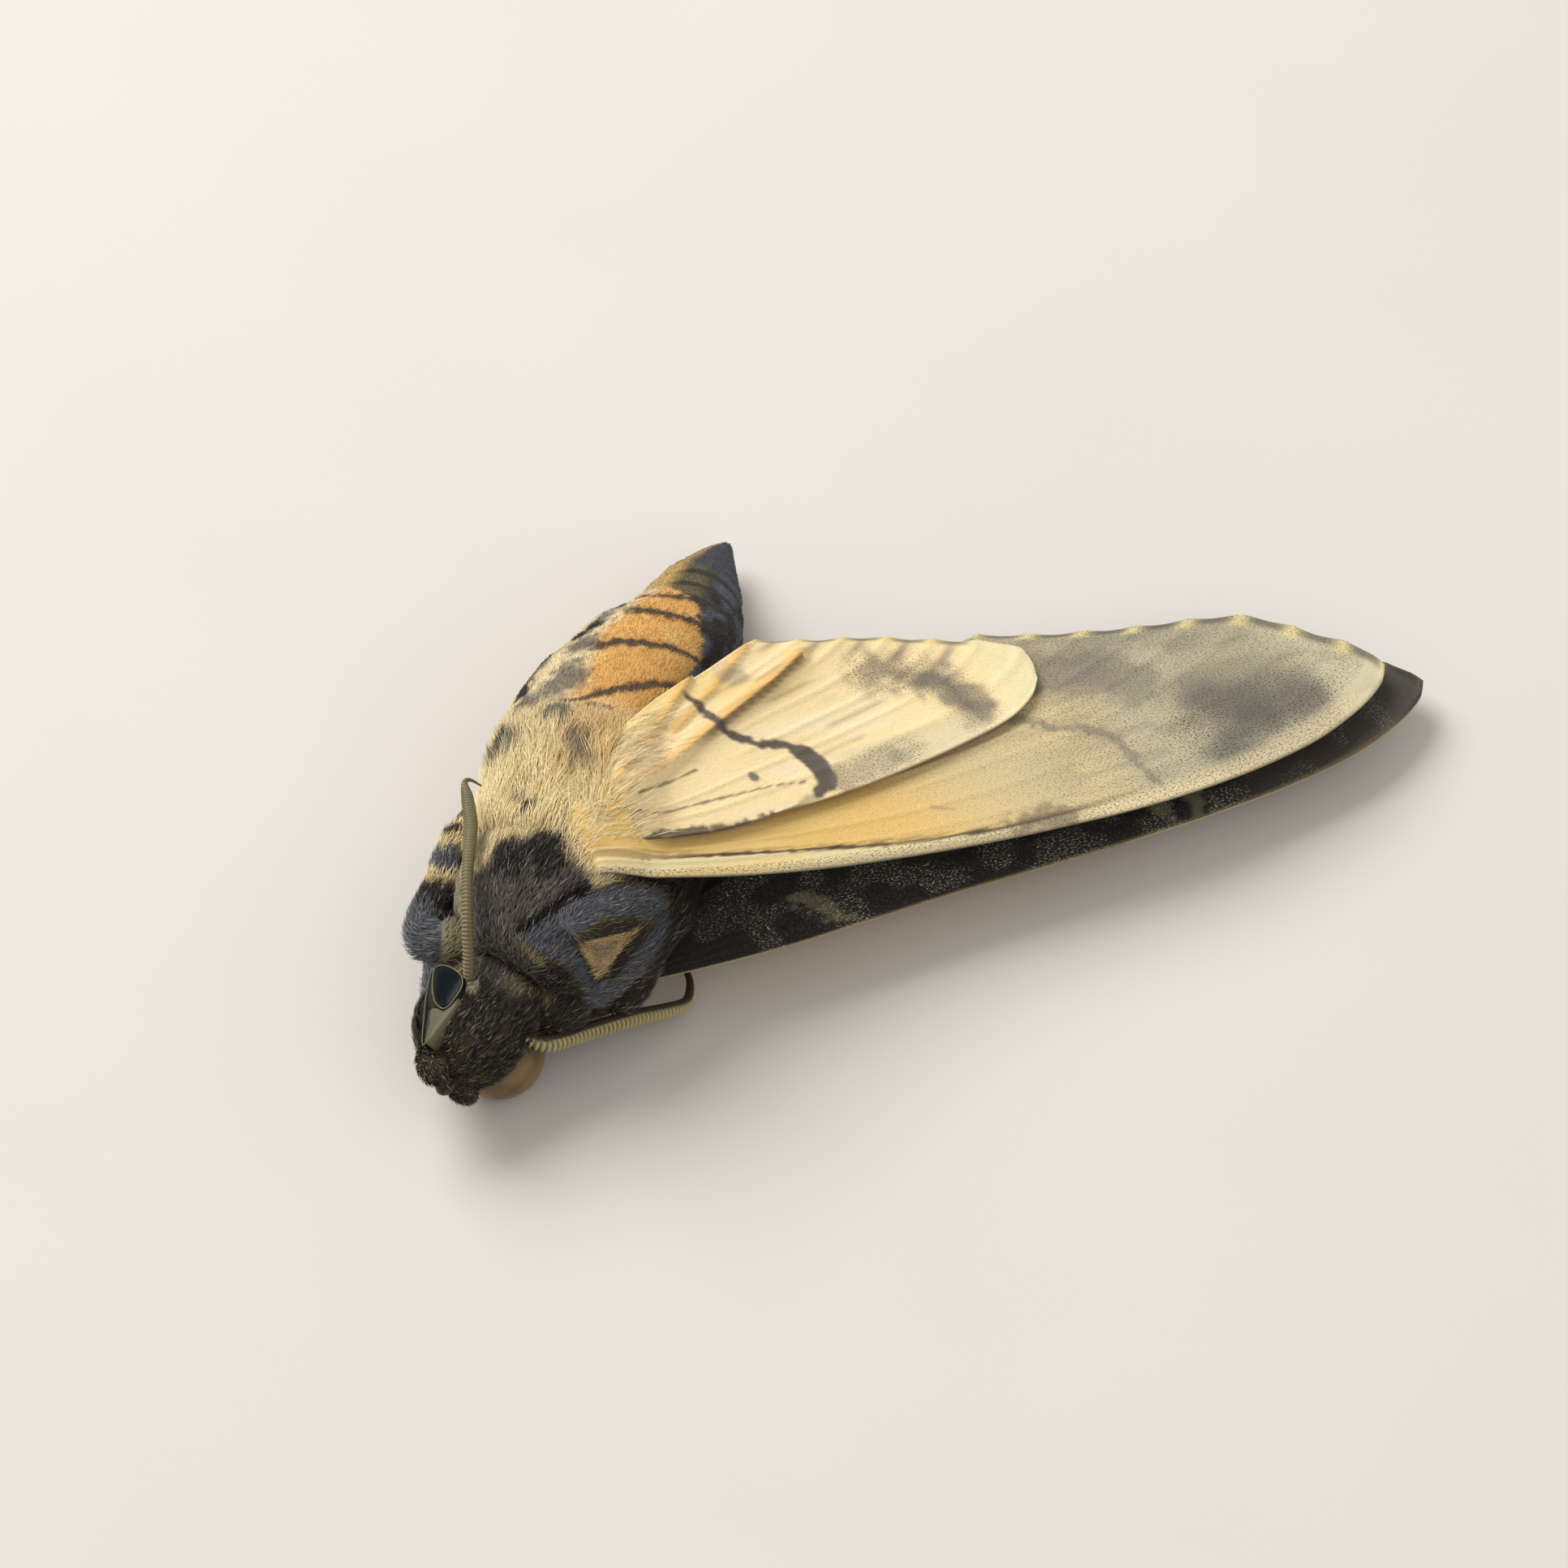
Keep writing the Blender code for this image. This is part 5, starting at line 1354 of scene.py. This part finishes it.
def wing_hairs(made, name, reach, per_mm, length, seed):
    """Fine hair over a wing's root, lying along the wing, with the front edge left bare."""
    shape = WINGS[name]
    turn = math.radians(shape["heading"])
    heading = np.array((math.cos(turn), math.sin(turn), 0))
    base = np.array((*shape["base"], 0))
    across = np.array((-heading[1], heading[0], 0))

    def density(points):
        end = reach * (0.4 + 0.6 * ramp(0.3, 2.6, (points - base) @ across))
        return per_mm * (1 - ramp(0.4, 1.0, (points - base) @ heading / end))

    roots, normals = scattered(made, density, seed)
    keep = (normals[:, 2] > 0.3) & ((roots - base) @ across > (1.0 if shape["fore"] else -9))
    roots, normals = roots[keep], normals[keep]
    count = len(roots)
    draw = np.random.default_rng(seed)
    lies = unit(heading + 0.09 * draw.normal(size=(count, 3)))
    along, over = (roots - base) @ heading, (roots - base) @ across
    spots = np.column_stack([np.clip(0.1 + along / 60, 0.01, 0.99), np.clip(0.5 + over / 40, 0.01, 0.99)])
    colours = np.tile(srgb(*HAIR_COLOUR), (count, 1)) * draw.uniform(0.85, 1.1, count)[:, None]
    lengths = length * draw.uniform(0.6, 1.3, count)
    widths = HAIR_WIDTH * draw.uniform(0.8, 1.3, count)
    lifts = np.clip(0.08 + 0.05 * draw.normal(size=count), 0.03, 0.4)
    bends = 0.06 * draw.normal(size=count)
    tufts(f"hair_{name}", roots, normals, lies, lengths, widths, lifts, bends, colours, spots, "wing")


# Feelers, eyes and mouth


def antenna(name):
    """A feeler of many short rings, each with a comb tooth along the lower side."""
    steps = 6
    count = ANTENNA_RINGS[name] * steps
    rows = smooth_path(ANTENNAE[name], count)
    sides = 20
    axes = path_axes(rows)
    phase = (np.arange(count) % steps) / steps
    swell = 0.5 - 0.5 * np.cos(math.tau * phase)
    comb_way = np.array((-1.0, -0.25, 0.15)) if name.endswith("right") else np.array((0.35, -0.9, -0.25))
    facing = ramp(0.15, 0.85, np.einsum("ijk,k->ij", spokes(axes, sides), unit(comb_way)))
    thick = ramp(0.15, 0.4, rows[:, 3])[:, None]
    comb = 0.26 if name.endswith("right") else 0.5
    radii = rows[:, 3][:, None] * (0.8 + 0.05 * swell[:, None] + comb * thick * facing * swell[:, None])
    points, faces = loft(rows, axes, radii, sides)
    if name.endswith("left"):
        upper, lower = srgb(56, 46, 38), srgb(176, 162, 116)
    else:
        upper, lower = srgb(108, 99, 66), srgb(132, 123, 86)
    colour = np.tile(upper, (count * sides + 2, 1))
    side = np.append(facing.ravel(), (0, 0))
    lay(colour, ramp(0.1, 0.5, side), lower)
    groove = np.append(np.repeat(1 - swell, sides), (0, 0))
    lay(colour, 0.8 * ramp(0.55, 0.95, groove) * (0.7 + 0.3 * side), srgb(54, 47, 33))
    made = mesh_object(name + "_rings", points, faces, HORN, "chitin")
    set_colour(made, "tint", colour)
    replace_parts(made, name)


# Corners of the sunken right eye's two dark panes and of the pale plate below them
FACET = [(-4.83, -4.94, 7.53), (-4.22, -5.08, 7.94), (-3.44, -5.99, 8.5), (-3.22, -6.75, 8.68),
         (-3.44, -7.39, 8.56), (-4.13, -8.13, 8.15), (-4.67, -7.63, 7.77), (-4.93, -6.67, 7.55),
         (-4.96, -5.53, 7.47)]
STRIP = [(-5.18, -5.39, 7.03), (-4.99, -4.64, 7.12), (-4.99, -6.42, 7.2), (-5.11, -7.48, 7.17),
         (-4.97, -8.01, 7.29), (-5.29, -9.84, 7.16), (-5.46, -9.63, 7.04), (-5.42, -8.07, 6.99),
         (-5.37, -6.98, 6.98)]
PLATE = [(-4.98, -7.63, 7.38), (-4.14, -8.11, 7.96), (-3.44, -7.63, 8.4), (-3.68, -8.26, 8.27),
         (-4.33, -9.05, 7.88), (-5.21, -10.03, 7.35), (-5.09, -9.07, 7.38)]
PANE_DEPTH = 0.9


def closed_curve(points, count):
    """A smooth closed line through corners."""
    ring = [*points[-2:], *points, *points[:3]]
    rows = smooth_path(ring, count * 3)
    start = np.argmin(np.linalg.norm(rows[: count * 2] - np.array(points[0]), axis=1))
    rest = rows[start + count // 4 :]
    end = start + count // 4 + np.argmin(np.linalg.norm(rest - np.array(points[0]), axis=1))
    loop = rows[start:end]
    picked = np.linspace(0, len(loop), count, endpoint=False).astype(int)
    return loop[picked]


def pane(name, outline, dome, material, slot):
    """A lens over an outline: domed by a height on its outer face, with a skirt sunk into the cheek."""
    rim = closed_curve(outline, 64)
    middle = rim.mean(axis=0)
    rings = [rim - HEAD_RIGHT * PANE_DEPTH]
    for share in (1.0, 0.85, 0.65, 0.4, 0.15):
        rings.append(middle + (rim - middle) * share + HEAD_RIGHT * dome * (1 - share**2))
    points, ends = capped(np.vstack(rings), 6, 64)
    return mesh_object(name, points, [ring_faces(6, 64), ends], material, slot)


def rim_tube(name, outline, radius):
    """A raised edge round an outline."""
    rim = closed_curve(outline, 96)
    count, sides = len(rim), 8
    tangent = unit(np.roll(rim, -1, axis=0) - np.roll(rim, 1, axis=0))
    inward = np.cross(tangent, HEAD_RIGHT)
    turn = np.linspace(0, math.tau, sides, endpoint=False)[None, :, None]
    points = rim[:, None] + radius * (inward[:, None] * np.cos(turn) + HEAD_RIGHT * np.sin(turn))
    faces = ring_faces(count + 1, sides) % (count * sides)
    made = mesh_object(name, points.reshape(-1, 3), faces, HORN, "chitin")
    set_colour(made, "tint", np.tile(srgb(116, 108, 72), (count * sides, 1)))


def eyes():
    """The full left eye, and the right one that fell in: two dark panes in pale rims, with a plate."""
    brown = eye_finish("eye_brown", srgb(118, 92, 52), srgb(82, 63, 34), 0.14, 0.45)
    black = eye_finish("eye_black", srgb(7, 12, 14), srgb(16, 26, 30), 0.1, 0.07)
    left = egg(LEFT_EYE, LEFT_EYE_RADIUS * np.eye(3), 72, 48)
    left[0][:, 2] = np.maximum(left[0][:, 2], 0.02)
    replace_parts(mesh_object("eye_left_ball", *left, brown, "eye"), "eye_left")
    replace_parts(pane("eye_right_facet", FACET, 0.12, black, "eye_dark"), "eye_right")
    pane("eye_right_strip", STRIP, 0.08, black, "eye_dark")
    rim_tube("eye_rim_facet", FACET, 0.036)
    rim_tube("eye_rim_strip", STRIP, 0.03)
    plate = pane("eye_plate", PLATE, 0.1, HORN, "chitin")
    set_colour(plate, "tint", np.tile(srgb(86, 80, 54), (len(plate.data.vertices), 1)))


def proboscis():
    """The short coiled tongue between the palps, with a near-black ball of painted shade filling the middle
    of the coil.
    """
    steps = 40
    share = np.arange(steps + 1) / steps
    turn = math.tau * PROBOSCIS_TURNS * share
    reach = PROBOSCIS_COIL * (1 - 0.15 * share)
    forward, sideways = HEAD_HALF[0] + 0.1 - reach * np.cos(turn), 0.15 * share - 0.1
    local = np.column_stack([forward, sideways, reach * np.sin(turn) - 0.2])
    centre = HEAD_CENTRE + local @ np.array(HEAD_AXES)
    radii = 0.7 * PROBOSCIS_RADIUS * (1 - 0.25 * share) * (1 + 0.05 * np.cos(share * 150))
    coil = loft(centre, path_axes(centre), radii, 16)
    core = egg(centre.mean(axis=0), PROBOSCIS_COIL * 0.8 * np.eye(3), 20, 12)
    points, faces = joined([coil, core])
    made = mesh_object("proboscis_coil", points, faces, HORN, "chitin")
    tint = np.tile(srgb(68, 46, 30), (len(points), 1))
    # Painted shade: the ball in the middle of the coil is near black.
    tint[len(coil[0]) :] = srgb(24, 20, 17)
    set_colour(made, "tint", tint)
    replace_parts(made, "proboscis")


def surroundings():
    """A pale floor, a soft overhead window of light and a bright plain room."""
    mesh = bpy.data.meshes.new("floor")
    mesh.from_pydata([(-3, -3, 0), (3, -3, 0), (3, 3, 0), (-3, 3, 0)], [], [(0, 1, 2, 3)])
    floor = bpy.data.objects.new("floor", mesh)
    bpy.context.scene.collection.objects.link(floor)
    n = Nodes("floor_paper")
    place = n.place()
    tone = n.mix(n.noise(place, 40.0), tuple(srgb(208, 202, 194)), tuple(srgb(213, 207, 200)))
    mesh.materials.append(n.finish(tone, 0.8))
    for name, place, size, power in LAMPS:
        light = bpy.data.lights.new(name, "AREA")
        light.size = size
        light.energy = power
        lamp = bpy.data.objects.new(name, light)
        lamp.location = place
        lamp.rotation_euler = (Vector((0.01, 0.01, 0)) - Vector(place)).to_track_quat("-Z", "Y").to_euler()
        bpy.context.scene.collection.objects.link(lamp)
    world = bpy.data.worlds.new("room")
    world.use_nodes = True
    world.node_tree.nodes["Background"].inputs["Color"].default_value = (1.0, 0.99, 0.97, 1.0)
    world.node_tree.nodes["Background"].inputs["Strength"].default_value = 0.52
    bpy.context.scene.world = world
    bpy.context.scene.view_settings.view_transform = "Standard"


def camera():
    """The photo's view."""
    target = (np.array(VIEW_TARGET) - RESTING_PLACE) * 0.001
    rise = math.radians(VIEW_RISE)
    data = bpy.data.cameras.new("photo_view")
    data.angle = 2 * math.atan(VIEW_HALF_WIDTH / VIEW_DISTANCE)
    data.clip_start = 0.01
    made = bpy.data.objects.new("photo_view", data)
    made.location = Vector(target) + VIEW_DISTANCE * Vector((0, -math.cos(rise), math.sin(rise)))
    made.rotation_euler = (math.radians(90) - rise, 0, 0)
    bpy.context.scene.collection.objects.link(made)
    bpy.context.scene.camera = made


def main():
    body = skin()
    # Painted shade: the skin beneath the coat is darker than the coat's tufts.
    set_colour(body, "tint", coat_tint(coordinates(body.data)) * SKIN_SHADE)
    body_coat(body)
    fore = wing("forewing_right", 84, 300)
    hind = wing("hindwing_right", 84, 200)
    wing("forewing_left", 60, 220)
    wing("hindwing_left", 50, 120)
    wing_hairs(hind, "hindwing_right", 8.0, 18.0, 2.2, SEED + 5)
    wing_hairs(fore, "forewing_right", 5.0, 14.0, 1.4, SEED + 6)
    for name in ANTENNAE:
        antenna(name)
    eyes()
    proboscis()
    surroundings()
    camera()


main()
